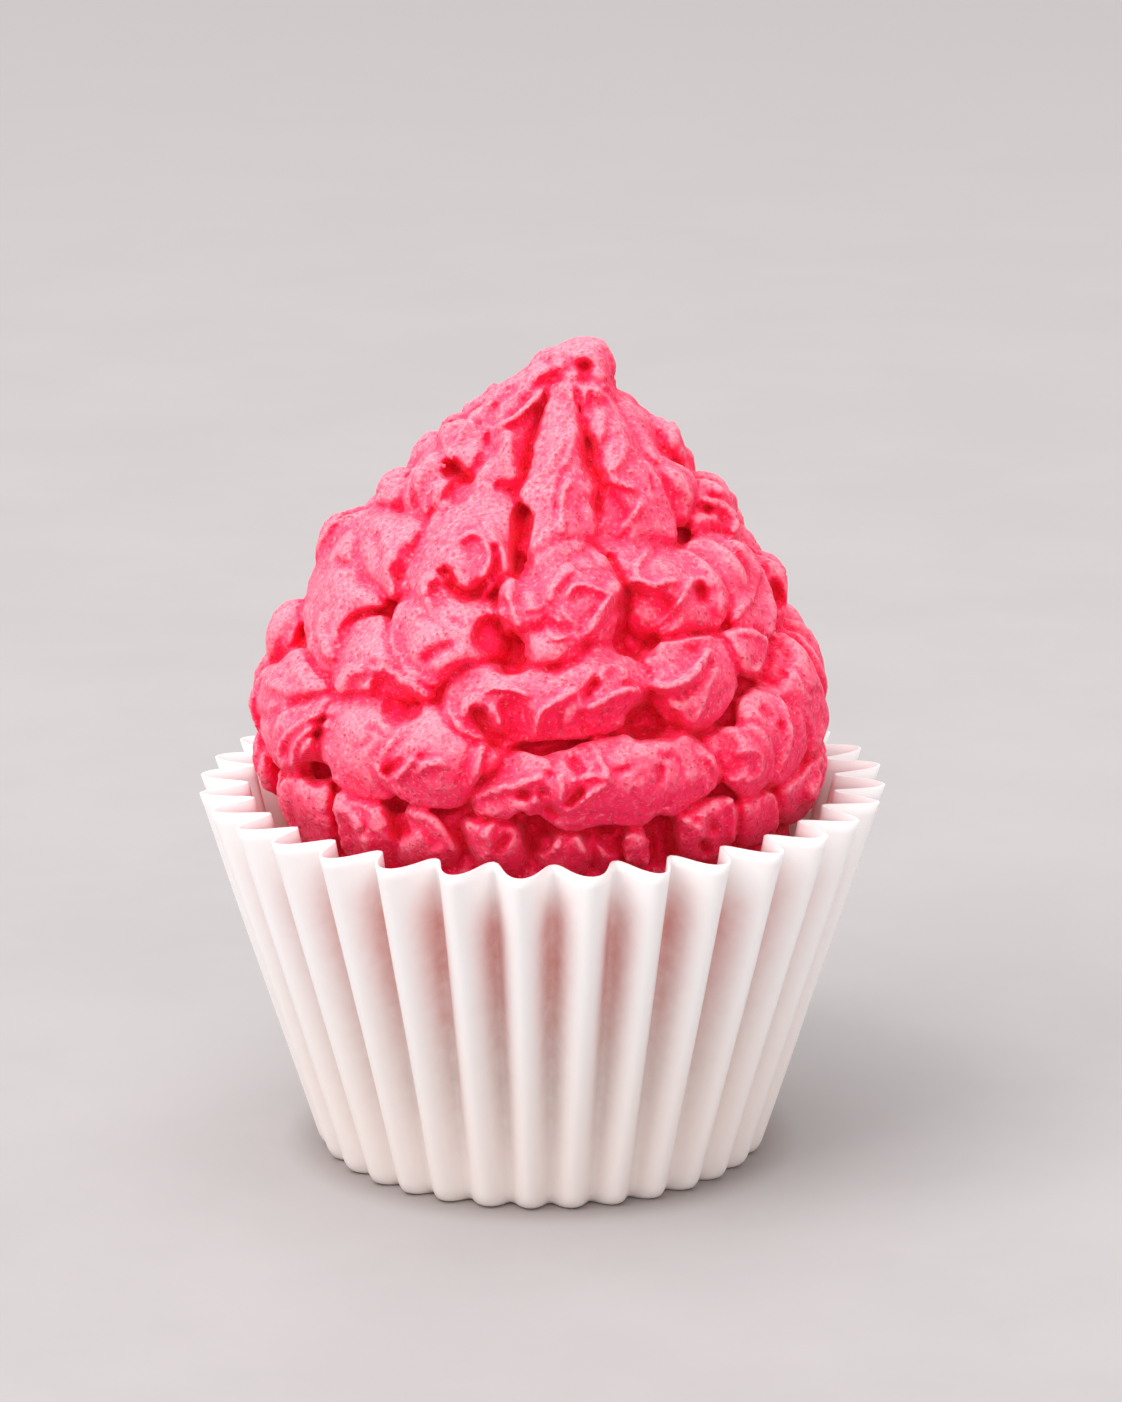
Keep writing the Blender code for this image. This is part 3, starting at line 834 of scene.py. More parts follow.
FRONT_PETALS: dict[str, tuple[Petal, ...]] = {
    "upper_roll": (
        Petal(1, 4.9, (
            -12.1, 0.8, -11, 2.2, -9.2, 3.3, -6.3, 3.8, -4.2, 3.7, -2.1, 3.2, -0.5, 3.8, 1.2, 4.9,
            3.1, 5.5, 5.4, 5.4, 7.4, 4.3, 8.7, 2.7, 8.9, 1.1, 8.3, -0.8, 6.6, -2.3, 4.5, -3.4,
            2.5, -3.8, 0, -3.9, -2.5, -4.1, -5, -4.9, -6.5, -4.4, -9.2, -3.8, -11, -2.3, -12.1, -0.4,
        )),
    ),
    "lower_roll": (
        Petal(1.6, 5.2, (
            -9.2, -10.4, -8.8, -8.9, -7.5, -8, -6.1, -7, -5.6, -5.8, -4.2, -5, -2.1, -5.6, -0.9, -5.2,
            1.2, -4.8, 3.3, -4, 5.8, -3.5, 8.3, -3.1, 10.6, -2.8, 12.4, -3.2, 14.1, -4.2, 15.5, -5.8,
            16.4, -7.5, 16.2, -8.1, 14.3, -9.8, 11.8, -11.5, 9.1, -12.5, 6.6, -12.7, 4.3, -12.4,
            2, -13.1, 0, -12.9, -1.7, -12.1, -2.6, -12.2, -4, -11, -5.3, -11.9, -7.1, -11.7,
            -8.6, -11.6,
        )),
        Petal(0, 3.2, (
            -9.2, -4.3, -7.1, -3.9, -5.6, -4.8, -5.6, -6.4, -7.1, -7.7, -8.8, -8.7, -9.6, -9.5,
            -10.2, -7.5,
        )),
    ),
    "left_roll": (
        Petal(0.7, 4.3, (
            -13.2, -0.3, -15.3, -0.8, -16.4, -2.5, -17.7, -4.1, -18.9, -5.9, -19.1, -6.9, -17.9, -8.7,
            -15.9, -10.1, -13.5, -10.9, -10.8, -10.9, -9.3, -10.3, -8.3, -7.8, -7.8, -5.4, -7.1, -3.6,
            -8, -2.2, -10, -0.4, -11.5, -0.1,
        )),
        Petal(0.1, 4.6, (
            -22.5, 0.2, -23.9, -1.2, -24.6, -3.4, -24.2, -6.1, -23.1, -8.1, -21.1, -9.5, -18.9, -10.1,
            -16.7, -9.7, -15.9, -7.1, -15.4, -4.6, -14.9, -2.2, -15.9, -0.4, -18.9, 0.3, -20.9, 0.5,
        )),
    ),
    "left_front": (
        Petal(0, 3.2, (
            -1.1, 32.6, -3.1, 31, -5, 29.1, -6.5, 28, -7.5, 26.3, -8.2, 24.4, -9.3, 22.8, -10.2, 21.3,
            -8.1, 20.1, -5.6, 20.5, -4.1, 20.9, -3.9, 23, -3.5, 25.3, -2.7, 28, -1.8, 29.8, -1, 31.9,
        )),
        Petal(0.3, 4.3, (
            -10.9, 21.5, -12.3, 20, -13.5, 18, -14.6, 15.5, -15.9, 13, -16.4, 11.2, -16, 9.3,
            -14.1, 8.7, -11.4, 8.9, -8.9, 9.7, -6.6, 11.2, -5.2, 12.8, -4.3, 14.9, -3.7, 17,
            -3.9, 19.5, -4.1, 20.8, -5.6, 21.5, -7, 22.2, -9.3, 22.4,
        )),
        Petal(0.4, 4.6, (
            -16, 10.5, -16.9, 9.2, -17.5, 7.2, -17.2, 5.2, -16.4, 3.5, -14.9, 2.4, -13.2, 1.5,
            -11.9, 1.3, -10, 2.3, -6.8, 3, -5.3, 5.2, -5.6, 7.7, -6.8, 9.9, -8.8, 10.9, -10.3, 11.6,
            -12, 11.6, -14, 11.6,
        )),
    ),
    "left": (
        Petal(-0.1, 3.5, (
            -20.1, 19.3, -20.8, 16.8, -20.7, 14.4, -19.8, 12.6, -18, 10.8, -16.4, 10.2, -15.9, 12.1,
            -14.9, 14.4, -14, 16.6, -13.2, 18.1, -14.9, 18.8, -17.7, 19.5,
        )),
        Petal(-0.1, 4.3, (
            -20.4, 19.3, -22.8, 17.3, -24.6, 14.4, -25.8, 11.4, -26.1, 8.7, -25.7, 5.5, -24.7, 3.5,
            -23.4, 2.4, -22.8, 5.2, -20.9, 8.4, -17.7, 9.7, -17.9, 10.9, -19.9, 12.6, -20.7, 15.1,
            -20.7, 17.1,
        )),
        Petal(-0.2, 4.1, (
            -17.4, 8.7, -20.1, 8.6, -22.1, 7.3, -23.1, 5.5, -23.5, 3.3, -23.1, 1.5, -22.3, 0.2,
            -19.9, -0.4, -16.9, -0.8, -14, -0.4, -12.2, 0.8, -14, 2.8, -15.4, 3.7, -16.4, 5.7,
            -16.9, 7.7,
        )),
    ),
    "left_knob": (
        Petal(0.2, 3.5, (
            -8.1, 27.6, -9.5, 28.6, -11.4, 28.3, -12.4, 26.9, -11.9, 25.3, -10.6, 23.8, -9.4, 22.9,
            -8.3, 24.2, -7.5, 25.9,
        )),
        Petal(-0.2, 3.5, (
            -12.6, 26.5, -14.1, 24.4, -15, 22.4, -14.7, 20.5, -14.1, 19, -13.3, 18.3, -11.6, 19.5,
            -10.2, 21.5, -9.5, 22.8, -11, 24, -12, 25.5,
        )),
        Petal(-0.2, 2.9, (
            -1, 32.8, -1.8, 34.6, -3.9, 33.4, -6.4, 31.5, -8.5, 29.6, -9.5, 28.6, -8.1, 27.6,
            -7.2, 27.1, -6, 28.4, -3.9, 30.5,
        )),
    ),
    "left_shell": (
        Petal(-0.1, 3.8, (
            -22.6, 0.5, -25.3, 0.2, -27.5, -0.7, -29.7, -1.8, -30.8, -1.9, -30.1, -4.4, -28.9, -6.5,
            -27.5, -7.3, -25.5, -7.1, -24.3, -5.9, -24.6, -3.4, -23.9, -1.2,
        )),
    ),
    "left_edge": (
        Petal(-0.4, 4.1, (
            -28.5, 4.1, -30, 3, -30.8, 0.5, -30.8, -1.9, -29, -1.8, -27.5, -0.7, -25.3, 0.2,
            -22.8, 0.5, -23.3, 2.3, -24.7, 3.5, -26, 5.2, -27.3, 5.2,
        )),
    ),
    "middle": (
        Petal(0.8, 3.5, (
            -1.1, 32.1, -1.6, 29.8, -2.1, 28, -2.8, 25.5, -3.1, 23.4, -4.2, 21.1, -3.7, 19.7,
            -3.4, 17.8, -3.9, 16.1, -4.2, 14.3, -4.2, 12.6, -1.8, 11.8, 0.6, 12, 2.3, 13.9, 3.2, 16.1,
            3.7, 17.8, 3.4, 19.5, 3.8, 21.5, 3.6, 22.5, 2.8, 23.4, 2.6, 25.3, 2.2, 28, 1.7, 29.8,
            1.3, 31.8, 0.2, 32.5,
        )),
        Petal(0.8, 4.6, (
            3.2, 15.9, 4.6, 14.5, 5.8, 12.6, 6.6, 10.9, 6.5, 8.7, 5.8, 5.5, 4.6, 4.5, 2.3, 4.7,
            0.2, 5.5, -1.8, 7, -3.1, 8.7, -3.7, 10.7, -3.7, 12.6, -3.1, 14.3, -1, 15.7, 1.3, 16.3,
        )),
        Petal(0.4, 3.2, (
            -6, 11.8, -4.8, 12.4, -3.1, 12.2, -1.4, 10.9, -1, 9.1, -1.8, 7.2, -3.5, 6.2, -5, 6.4,
            -6, 7.6, -6.4, 9.7,
        )),
        Petal(0.9, 3.8, (
            -2.5, 7.3, -4, 6.5, -4.5, 5.2, -3.8, 4, -1.7, 3.5, 0, 3.8, 1.6, 4.6, 2.5, 6, 1.2, 7.3,
            -0.9, 7.7,
        )),
    ),
    "right_front": (
        Petal(0.1, 3.2, (
            1.3, 31.8, 1.7, 29.8, 2.2, 28, 2.6, 25.3, 2.8, 23.4, 3.6, 22.5, 3.8, 21.5, 3.4, 19.5,
            3.7, 17.8, 3.2, 16.1, 4.6, 14.9, 6.5, 14.3, 8.5, 14.7, 10.6, 15.3, 11.8, 16.1, 11.8, 17.8,
            11.2, 19.7, 10.3, 22.2, 9.4, 23.7, 8.3, 24.9, 7.8, 26.3, 6.9, 28, 6, 29.2, 5.1, 30.9,
            4.2, 31.7, 3.2, 32.4, 1.9, 32.5,
        )),
        Petal(0.3, 4.6, (
            15.8, 6.9, 16.7, 8.7, 16.9, 10.8, 16, 12.9, 14.5, 14.4, 12.7, 15.5, 10.8, 15.7, 9, 16.3,
            6.7, 15.7, 5.1, 14.7, 5.7, 12.6, 6.4, 10.8, 6.4, 8, 8.2, 6.4, 11.4, 6.3, 14, 6.7,
        )),
    ),
    "right_front_end": (
        Petal(0.5, 4.6, (
            15.8, 6.7, 16.8, 5.5, 17.7, 3.5, 17.9, 1.5, 16.9, -0.6, 15.5, -2.4, 13.4, -3.2, 10.8, -2.7,
            9, -0.9, 8, 1.7, 7.7, 3.8, 8.5, 5.5, 10.8, 6.1, 13.4, 6.6,
        )),
    ),
    "right": (
        Petal(-0.4, 3.2, (
            3.2, 32.4, 6.7, 31.2, 7.7, 30.1, 9, 28.8, 9.7, 27.1, 10.4, 25.5, 11.7, 23.8, 13.2, 22.4,
            13.5, 20.5, 12.7, 18, 11.8, 17.2, 10.6, 19, 9.4, 22.2, 7.5, 25.5, 5.6, 28.8,
        )),
    ),
    "right_ovals": (
        Petal(-0.6, 4.1, (
            19.9, 1.9, 21, 4.3, 21.5, 6.9, 21.7, 9, 21.2, 11.6, 20.2, 13.9, 18.9, 15.7, 17.6, 16.6,
            16, 15.7, 16.6, 12.1, 16.6, 8.2, 17.6, 4.3,
        )),
        Petal(-0.2, 4.1, (
            16.9, 7.6, 18.6, 8.9, 19.8, 10.5, 20.1, 12.4, 19.5, 14.2, 18.1, 16, 16.3, 17, 14, 16.7,
            12.1, 15.9, 11.9, 13.4, 13.4, 10.8, 15, 8,
        )),
        Petal(-0.2, 3.5, (
            19.7, 2.2, 20.7, 4.3, 20.7, 6.4, 19.2, 7.4, 17.1, 7.2, 16, 6.7, 16.6, 4.8, 17.9, 2.8,
        )),
    ),
    "right_roll": (
        Petal(-0.1, 4.1, (
            21.1, -8.7, 23.3, -7.6, 24.7, -5.5, 25, -3.2, 24.2, -0.9, 22.8, 0.7, 21, 1.7, 19.7, 1.7,
            17.9, 0.2, 17.6, -2.4, 18.6, -5.5,
        )),
        Petal(0.3, 4.1, (
            18.1, -9.7, 20.2, -9.2, 21.5, -7.4, 21.8, -5.3, 21, -3.5, 19.7, -2.4, 17.6, -2.5,
            15.8, -2.6, 14, -3.2, 13.4, -4.8, 14.7, -6.6, 16.6, -8.4,
        )),
    ),
    "right_edge": (
        Petal(-0.4, 4.1, (
            25, -5.8, 26.3, -4.2, 27.1, -1.9, 26.7, 0.2, 25.8, 2.8, 24.3, 5.4, 22.8, 6.9, 21.5, 6.4,
            20.7, 3.8, 20.4, 1.7, 22.8, 0.2, 24.3, -2.4,
        )),
        Petal(-0.5, 3.5, (
            18, 16.6, 17.9, 18.3, 17.2, 19.8, 15.8, 20.5, 14, 20.9, 12.7, 20.4, 12.4, 18.6, 12.9, 17,
            15, 16.5,
        )),
    ),
    "rim_first": (
        Petal(-0.5, 4.1, (
            -27.8, -7.1, -28.3, -9.1, -28, -11.8, -26.3, -14, -23.3, -16, -22.1, -14.5, -22.8, -12,
            -23.1, -9.6, -23.8, -7.8, -25.8, -7.1,
        )),
    ),
    "rim_second": (
        Petal(-0.3, 4.1, (
            -22.1, -8.7, -22.8, -10.3, -22.5, -12.8, -22.1, -15.5, -19.9, -17, -16.9, -17,
            -15.9, -14.5, -16.4, -11.5, -18.4, -10.1,
        )),
        Petal(-0.2, 3.5, (
            -16.4, -10.8, -13.2, -11.7, -11.5, -13.3, -10.3, -15.7, -11.5, -17, -14.9, -17, -16.9, -16,
            -16.4, -13.3,
        )),
    ),
    "rim_fourth": (
        Petal(-0.3, 3.8, (
            -10.2, -12, -8.1, -11.8, -5, -12, -3.6, -13.3, -3.4, -15.8, -4.2, -17.6, -7.1, -18.1,
            -8.8, -16.4, -9.8, -14.3,
        )),
    ),
    "rim_fifth": (
        Petal(-0.2, 3.8, (
            -2.1, -13.5, -0.5, -13.1, 2, -13.3, 3.1, -14.7, 2.9, -16.8, 1.2, -18.1, -1.3, -17.6,
            -2.7, -15.8, -2.9, -14.5,
        )),
        Petal(-1.2, 2.9, (3.1, -13.5, 4.9, -13.1, 6.4, -13.5, 6.4, -15.8, 4.9, -17.2, 3.3, -16.8)),
    ),
    "rim_seventh": (
        Petal(-0.3, 3.2, (6.6, -12.9, 8.7, -12.9, 9.2, -14.7, 8.5, -17, 7.1, -16.8, 6.4, -15.1)),
    ),
    "rim_eighth": (
        Petal(0, 4.1, (
            11.4, -11, 13.7, -10.2, 16.6, -9.5, 17.8, -10.6, 17.9, -12.4, 17.4, -14.7, 16.2, -16.4,
            13.7, -16.4, 11.6, -15.6, 10.8, -13.5,
        )),
    ),
    "rim_ninth": (
        Petal(-0.4, 3.5, (
            18.1, -9.7, 20.7, -8.9, 21.6, -9.7, 22, -11.5, 21.6, -13.6, 19.7, -14.9, 17.6, -14.6,
            17.1, -12.3,
        )),
        Petal(-0.6, 3.5, (
            22, -8.7, 24.6, -6.6, 26.3, -5, 26.6, -6.6, 26, -9.2, 25, -11.5, 23.3, -12.6, 22, -12,
            21.9, -10,
        )),
    ),
}


class FoldKind(Enum):
    """The ways in which the icing's surface is folded."""

    RIDGE = "ridge"
    CREASE = "crease"
    HOLLOW = "hollow"
    LIP = "lip"


@dataclass(frozen=True)
class Fold:
    """A fold in the icing.

    Its path goes across and up in turn, in millimetres. A lip's higher side is on the left of its path.
    """

    kind: FoldKind
    half_width: float
    depth: float
    path: tuple[float, ...]
    rim: float = 0.32
    foot: float = 0.36
    foot_depth: float = 0.75
    step_width: float = 0.24

    def curve(self, step: float = 0.45) -> np.ndarray:
        """Follow the path smoothly.

        Args:
            step: About how far apart the points lie.

        Returns:
            The points of the line.
        """
        knots = np.array(self.path).reshape(-1, 2)
        if len(knots) == 2:
            knots = np.array([knots[0], 0.5 * (knots[0] + knots[1]), knots[1]])
        ends = np.vstack((2.0 * knots[0] - knots[1], knots, 2.0 * knots[-1] - knots[-2]))
        line = [knots[:1]]
        for before, start, end, after in zip(ends, ends[1:], ends[2:], ends[3:]):
            count = max(int(np.linalg.norm(end - start) / step), 1)
            line.append(spline(before, start, end, after, (np.arange(count) + 1.0)[:, None] / count))
        return np.vstack(line)

    def lift(self, spots: np.ndarray) -> np.ndarray:
        """Work out how far the fold lifts each spot.

        Args:
            spots: Places across and up, all within reach of the fold.

        Returns:
            The lift of each, in millimetres.
        """
        line = self.curve()
        lengths = np.linalg.norm(np.diff(line, axis=0), axis=1)
        total = lengths.sum()
        best = np.full(len(spots), np.inf)
        side = np.zeros(len(spots))
        along = np.zeros(len(spots))
        walked = 0.0
        for start, end, length in zip(line, line[1:], lengths):
            heading = (end - start) / max(length, 1e-6)
            reach = spots - start
            gone = np.clip(reach @ heading, 0.0, length)
            away = np.linalg.norm(reach - gone[:, None] * heading, axis=1)
            nearer = away < best
            best[nearer] = away[nearer]
            side[nearer] = (heading[0] * reach[:, 1] - heading[1] * reach[:, 0])[nearer]
            along[nearer] = walked + gone[nearer]
            walked += length
        share = np.clip(best / self.half_width, 0.0, 1.0)
        fade = np.clip(np.minimum(along, total - along) / min(0.8 * self.half_width, 0.4 * total), 0.0, 1.0)
        fade = fade * fade * (3.0 - 2.0 * fade)
        if self.kind is FoldKind.HOLLOW:
            return -self.depth * (1.0 - share**2) ** 1.2
        if self.kind is FoldKind.RIDGE:
            return self.depth * fade * (1.0 - share**2) ** 2
        if self.kind is FoldKind.CREASE:
            return -self.depth * fade * (1.0 - share) ** 1.5
        climb = np.clip(share / self.rim, 0.0, 1.0)
        descent = np.clip((share - self.rim) / (1.0 - self.rim), 0.0, 1.0)
        raised = np.sqrt(1.0 - (1.0 - climb) ** 2) * (1.0 - descent) ** 1.5
        sunken = -self.foot_depth * np.clip(1.0 - share / self.foot, 0.0, 1.0) ** 1.5
        signed = np.where(side > 0.0, best, -best)
        blend = np.clip(0.5 + signed / self.step_width, 0.0, 1.0)
        return self.depth * fade * (raised * blend + sunken * (1.0 - blend))


FRONT_FOLDS: tuple[Fold, ...] = (
    # Crown
    Fold(FoldKind.RIDGE, 0.8, 0.8, (1.2, 34.6, 1.9, 35.2, 2.9, 35.2, 3.7, 34.4, 4.2, 32.8, 4.8, 31.5)),
    Fold(FoldKind.HOLLOW, 0.9, 1.3, (2.4, 34, 2.4, 32.8)),
    Fold(FoldKind.RIDGE, 0.45, 0.6, (2.4, 31.9, 2.4, 29.4, 2.4, 27.1)),
    Fold(FoldKind.CREASE, 0.6, 1, (1.6, 31.9, 1.8, 29.6, 2.4, 26.5)),
    Fold(FoldKind.CREASE, 0.6, 0.8, (3, 31.8, 2.8, 29.4, 2.6, 26.7)),
    Fold(FoldKind.RIDGE, 0.8, 0.6, (0.6, 34.4, -1.8, 33.6, -4.8, 32.3, -6.4, 31.3, -7.7, 30.1)),
    Fold(FoldKind.CREASE, 0.9, 1.2, (-1.4, 32.9, -3.1, 31.3, -4.8, 29.8, -6, 28.8, -7.7, 27.9)),
    Fold(FoldKind.RIDGE, 0.7, 0.6, (-1.8, 35.2, -3.5, 33.6, -5.6, 32.1, -7, 30.7, -7.7, 29.4)),
    Fold(FoldKind.RIDGE, 0.5, 0.6, (-1.8, 32.5, -3.9, 30.5, -5.2, 29.6)),
    # Tongue
    Fold(FoldKind.LIP, 1.1, 0.55, (
        -1.1, 32.1, -1.6, 29.8, -2.1, 28, -2.8, 25.5, -3.1, 23.4, -4.2, 21.1, -3.7, 19.7, -3.4, 17.8,
        -3.3, 16.1, -3.7, 14.3, -3.8, 12.6,
    )),
    Fold(FoldKind.LIP, 1.1, 0.55, (
        3.2, 16.1, 3.7, 17.8, 3.4, 19.5, 3.8, 21.5, 3.6, 22.5, 2.8, 23.4, 2.6, 25.3, 2.2, 28, 1.7, 29.8,
        1.3, 31.8,
    )),
    Fold(FoldKind.CREASE, 0.7, 1, (0.4, 24.2, -0.1, 22.2, -0.4, 20.1, -0.2, 18)),
    Fold(FoldKind.RIDGE, 0.6, 1, (1.4, 22.4, 0.3, 21.5, -0.1, 18.8, 0, 17)),
    Fold(FoldKind.RIDGE, 0.7, 0.6, (1.5, 28, 0, 26.1, -1.4, 23.8, -2.9, 22.2)),
    Fold(FoldKind.RIDGE, 0.5, 0.7, (1.2, 28.6, 1.3, 26.7, 0.5, 24.4, 0.2, 23)),
    Fold(FoldKind.CREASE, 0.6, 0.6, (-1.4, 20.5, -1.8, 18.8, -2.7, 15.9)),
    Fold(FoldKind.CREASE, 0.6, 0.5, (2.3, 21.3, 1.9, 19.5, 2.1, 17.8)),
    # Left front strand
    Fold(FoldKind.LIP, 1.1, 0.55, (
        -1.1, 32.6, -3.1, 31, -5, 29.1, -6.5, 28, -7.5, 26.3, -8.2, 24.4, -9.3, 22.8, -10.9, 21.5,
        -12.3, 20, -13.5, 18, -14.6, 15.5, -15.9, 13, -16.4, 11.2,
    )),
    Fold(FoldKind.RIDGE, 0.9, 1.1, (-5.5, 28, -5.4, 26.3, -5.2, 24.2, -4.9, 22.2)),
    Fold(FoldKind.HOLLOW, 1.3, 0.8, (-2.9, 29.4, -3.7, 26.7, -4.3, 24.2, -4.8, 22.2)),
    Fold(FoldKind.CREASE, 0.8, 0.8, (-6.6, 26.3, -7, 24.2, -7, 22.4)),
    Fold(FoldKind.RIDGE, 0.5, 1.1, (-3.9, 23.4, -3.9, 22.6)),
    Fold(FoldKind.CREASE, 0.8, 1.2, (-7, 22.2, -5.6, 21.4, -4.1, 20.9)),
    Fold(FoldKind.LIP, 1.2, 1.4, (
        -11, 12, -9.5, 11.2, -8.1, 12, -7, 13.9, -7, 15.5, -8.1, 17.2, -9.5, 17.4, -10.8, 16.3,
    )),
    Fold(FoldKind.CREASE, 0.5, 0.8, (-10.2, 16.1, -9.2, 15.1, -9.3, 14.1)),
    Fold(FoldKind.HOLLOW, 1, 2.1, (-11.8, 13, -10.8, 11.5, -9.3, 10.7, -8.3, 11.8)),
    Fold(FoldKind.RIDGE, 0.9, 1.3, (-8.1, 18.3, -7, 16.8, -6, 14.9, -5.4, 12.6, -5.8, 10.1)),
    Fold(FoldKind.CREASE, 0.8, 1.3, (-6.8, 16.3, -6.5, 13.9, -7.5, 11.8)),
    Fold(FoldKind.HOLLOW, 1.3, 2.9, (-3.9, 18.8, -4.1, 15.9, -3.9, 13.9)),
    Fold(FoldKind.RIDGE, 0.7, 1, (-14.1, 10.7, -13.7, 12.2, -12.6, 12.6, -11.6, 11.8)),
    Fold(FoldKind.CREASE, 0.8, 1.3, (-7.2, 11.2, -6.4, 9.3, -5.6, 7.2)),
    Fold(FoldKind.LIP, 1.1, 0.6, (
        -16, 10.5, -16.9, 9.2, -17.5, 7.2, -17.2, 5.2, -16.4, 3.5, -14.9, 2.4, -13.2, 1.5, -11.9, 1.3,
    )),
    Fold(FoldKind.RIDGE, 0.9, 1.1, (-12.7, 12.8, -13.8, 11.9, -13.8, 10.4, -12.7, 9.4)),
    Fold(FoldKind.CREASE, 0.9, 1.4, (-14, 3.7, -13, 5, -10.8, 5.8)),
    Fold(FoldKind.RIDGE, 1.2, 1, (-13.2, 3, -11.5, 4.2, -9.3, 5)),
    Fold(FoldKind.HOLLOW, 2.6, 3.9, (-6.8, 6.5, -5.1, 4.9)),
    Fold(FoldKind.RIDGE, 1, 1.3, (-7.2, 10.9, -6.4, 8.7, -5.3, 6.7)),
    Fold(FoldKind.CREASE, 0.5, 0.7, (-11.5, 8.7, -10, 7.7, -9, 7.9)),
    Fold(FoldKind.CREASE, 0.5, 0.5, (-14.5, 8.7, -13, 8.2, -11.5, 6.7)),
    # Middle knob
    Fold(FoldKind.LIP, 1.1, 0.65, (5.8, 5.5, 6.5, 8.7, 6.6, 10.9, 5.8, 12.6, 4.6, 14.5, 3.2, 15.9)),
    Fold(FoldKind.LIP, 0.9, 1.4, (-0.5, 9.2, 2, 7.3, 5.2, 10.4, 4.7, 11.2, 2.9, 12, 1.2, 12, 0.1, 10.4)),
    Fold(FoldKind.CREASE, 0.7, 1.6, (3.9, 9.6, 2.9, 8.3, 1.8, 7.2)),
    Fold(FoldKind.RIDGE, 0.8, 1.1, (4.7, 12.3, 5.5, 10.8, 4.6, 9.4, 3.1, 7.5, 1.2, 6)),
    Fold(FoldKind.RIDGE, 0.8, 1, (1.2, 13.8, 0, 12.6, -1.1, 11.2, -0.9, 9.8)),
    Fold(FoldKind.CREASE, 0.7, 0.8, (1.2, 13.7, 2.5, 13.1, 3.5, 12.8)),
    Fold(FoldKind.LIP, 0.7, 1.1, (-1.9, 8.1, -1.7, 7.1, -0.5, 6.1, 1.9, 7.1, 0.2, 8.1, -0.7, 8.9)),
    Fold(FoldKind.LIP, 1.1, 0.5, (-2.5, 7.3, -4, 6.5, -4.5, 5.2, -3.8, 4, -1.7, 3.5, 0, 4.2, 1, 5.4)),
    Fold(FoldKind.LIP, 1.2, 1.4, (-5, 12.5, -5.6, 11, -5.3, 9.4, -4.9, 7.9, -4, 6.9)),
    Fold(FoldKind.RIDGE, 1, 1.1, (-6.5, 9.6, -6, 7.7, -5, 6)),
    Fold(FoldKind.RIDGE, 0.4, 0.5, (-4.4, 9.2, -2.9, 9.4, -1.7, 9.8)),
    Fold(FoldKind.RIDGE, 0.4, 0.5, (-3.8, 8.4, -2.5, 8.3, -1.7, 8.7)),
    # Right front strand
    Fold(FoldKind.LIP, 1.1, 0.55, (
        11.8, 16.1, 11.8, 17.8, 11.2, 19.7, 10.3, 22.2, 9.4, 23.7, 8.3, 24.9, 7.8, 26.3, 6.9, 28, 6, 29.2,
        5.1, 30.9, 4.2, 31.7, 3.2, 32.4,
    )),
    Fold(FoldKind.HOLLOW, 1.3, 1.8, (2.9, 25.9, 3.2, 23.8, 4.1, 22.2)),
    Fold(FoldKind.HOLLOW, 2, 2.6, (4.6, 20.3, 5.4, 18.8, 5.4, 17.2)),
    Fold(FoldKind.LIP, 1.2, 1.4, (3.9, 21.8, 5.2, 22.1, 6.7, 21.5, 8, 21.2)),
    Fold(FoldKind.LIP, 1.2, 1.4, (8.1, 21.1, 7.3, 19.5, 6, 17.8, 5, 16.6)),
    Fold(FoldKind.RIDGE, 0.8, 0.7, (4.1, 30.1, 4.2, 28, 3.8, 25.9)),
    Fold(FoldKind.RIDGE, 0.8, 0.8, (5.4, 28.8, 6.5, 26.5, 6.1, 24.7, 4.4, 23)),
    Fold(FoldKind.CREASE, 0.8, 0.8, (4.6, 27.6, 4.4, 25.5, 3.6, 24.2)),
    Fold(FoldKind.RIDGE, 0.8, 0.6, (6.7, 24, 7.9, 23.4, 8.7, 22.2, 9.6, 20.1)),
    Fold(FoldKind.CREASE, 0.5, 0.8, (8.6, 23.2, 9.1, 22.4, 9.5, 20.9)),
    Fold(FoldKind.LIP, 1.1, 0.55, (
        15.8, 6.9, 16.7, 8.7, 16.9, 10.8, 16, 12.9, 14.5, 14.4, 12.7, 15.5, 11.6, 15.7,
    )),
    Fold(FoldKind.RIDGE, 0.5, 0.5, (16, 8.5, 16.3, 10.5, 15.5, 12.6, 14, 14.2)),
    Fold(FoldKind.HOLLOW, 2.6, 3.4, (7.7, 9.5, 9.5, 9)),
    Fold(FoldKind.LIP, 1, 1.4, (6.6, 11.8, 7.7, 12.1, 9.3, 11.5, 10.8, 11.8, 12.3, 12)),
    Fold(FoldKind.LIP, 1, 1.4, (12.5, 11.7, 11.9, 10.3, 10.6, 8.9, 9.3, 7.7)),
    Fold(FoldKind.HOLLOW, 0.8, 1.6, (14.1, 11.3, 14.3, 10.4)),
    Fold(FoldKind.RIDGE, 0.6, 0.8, (12.8, 11.1, 13.4, 12.4, 14.7, 12.4, 15.3, 11.3)),
    Fold(FoldKind.CREASE, 0.8, 1.2, (10.1, 15.6, 8.8, 14.4, 7.9, 12.9)),
    Fold(FoldKind.RIDGE, 0.8, 1, (9.3, 15.5, 8.1, 14.2, 7.5, 12.6)),
    Fold(FoldKind.HOLLOW, 2.2, 3.6, (6.8, 6.4, 8.2, 6.1)),
    Fold(FoldKind.LIP, 1.1, 0.6, (
        13.4, -3.2, 15.5, -2.4, 16.9, -0.6, 17.9, 1.5, 17.7, 3.5, 16.8, 5.5, 15.8, 6.7,
    )),
    Fold(FoldKind.LIP, 1.2, 1.6, (15.8, 6.7, 13.4, 6.6, 10.8, 6.1, 8.5, 5.5, 7.5, 4.6)),
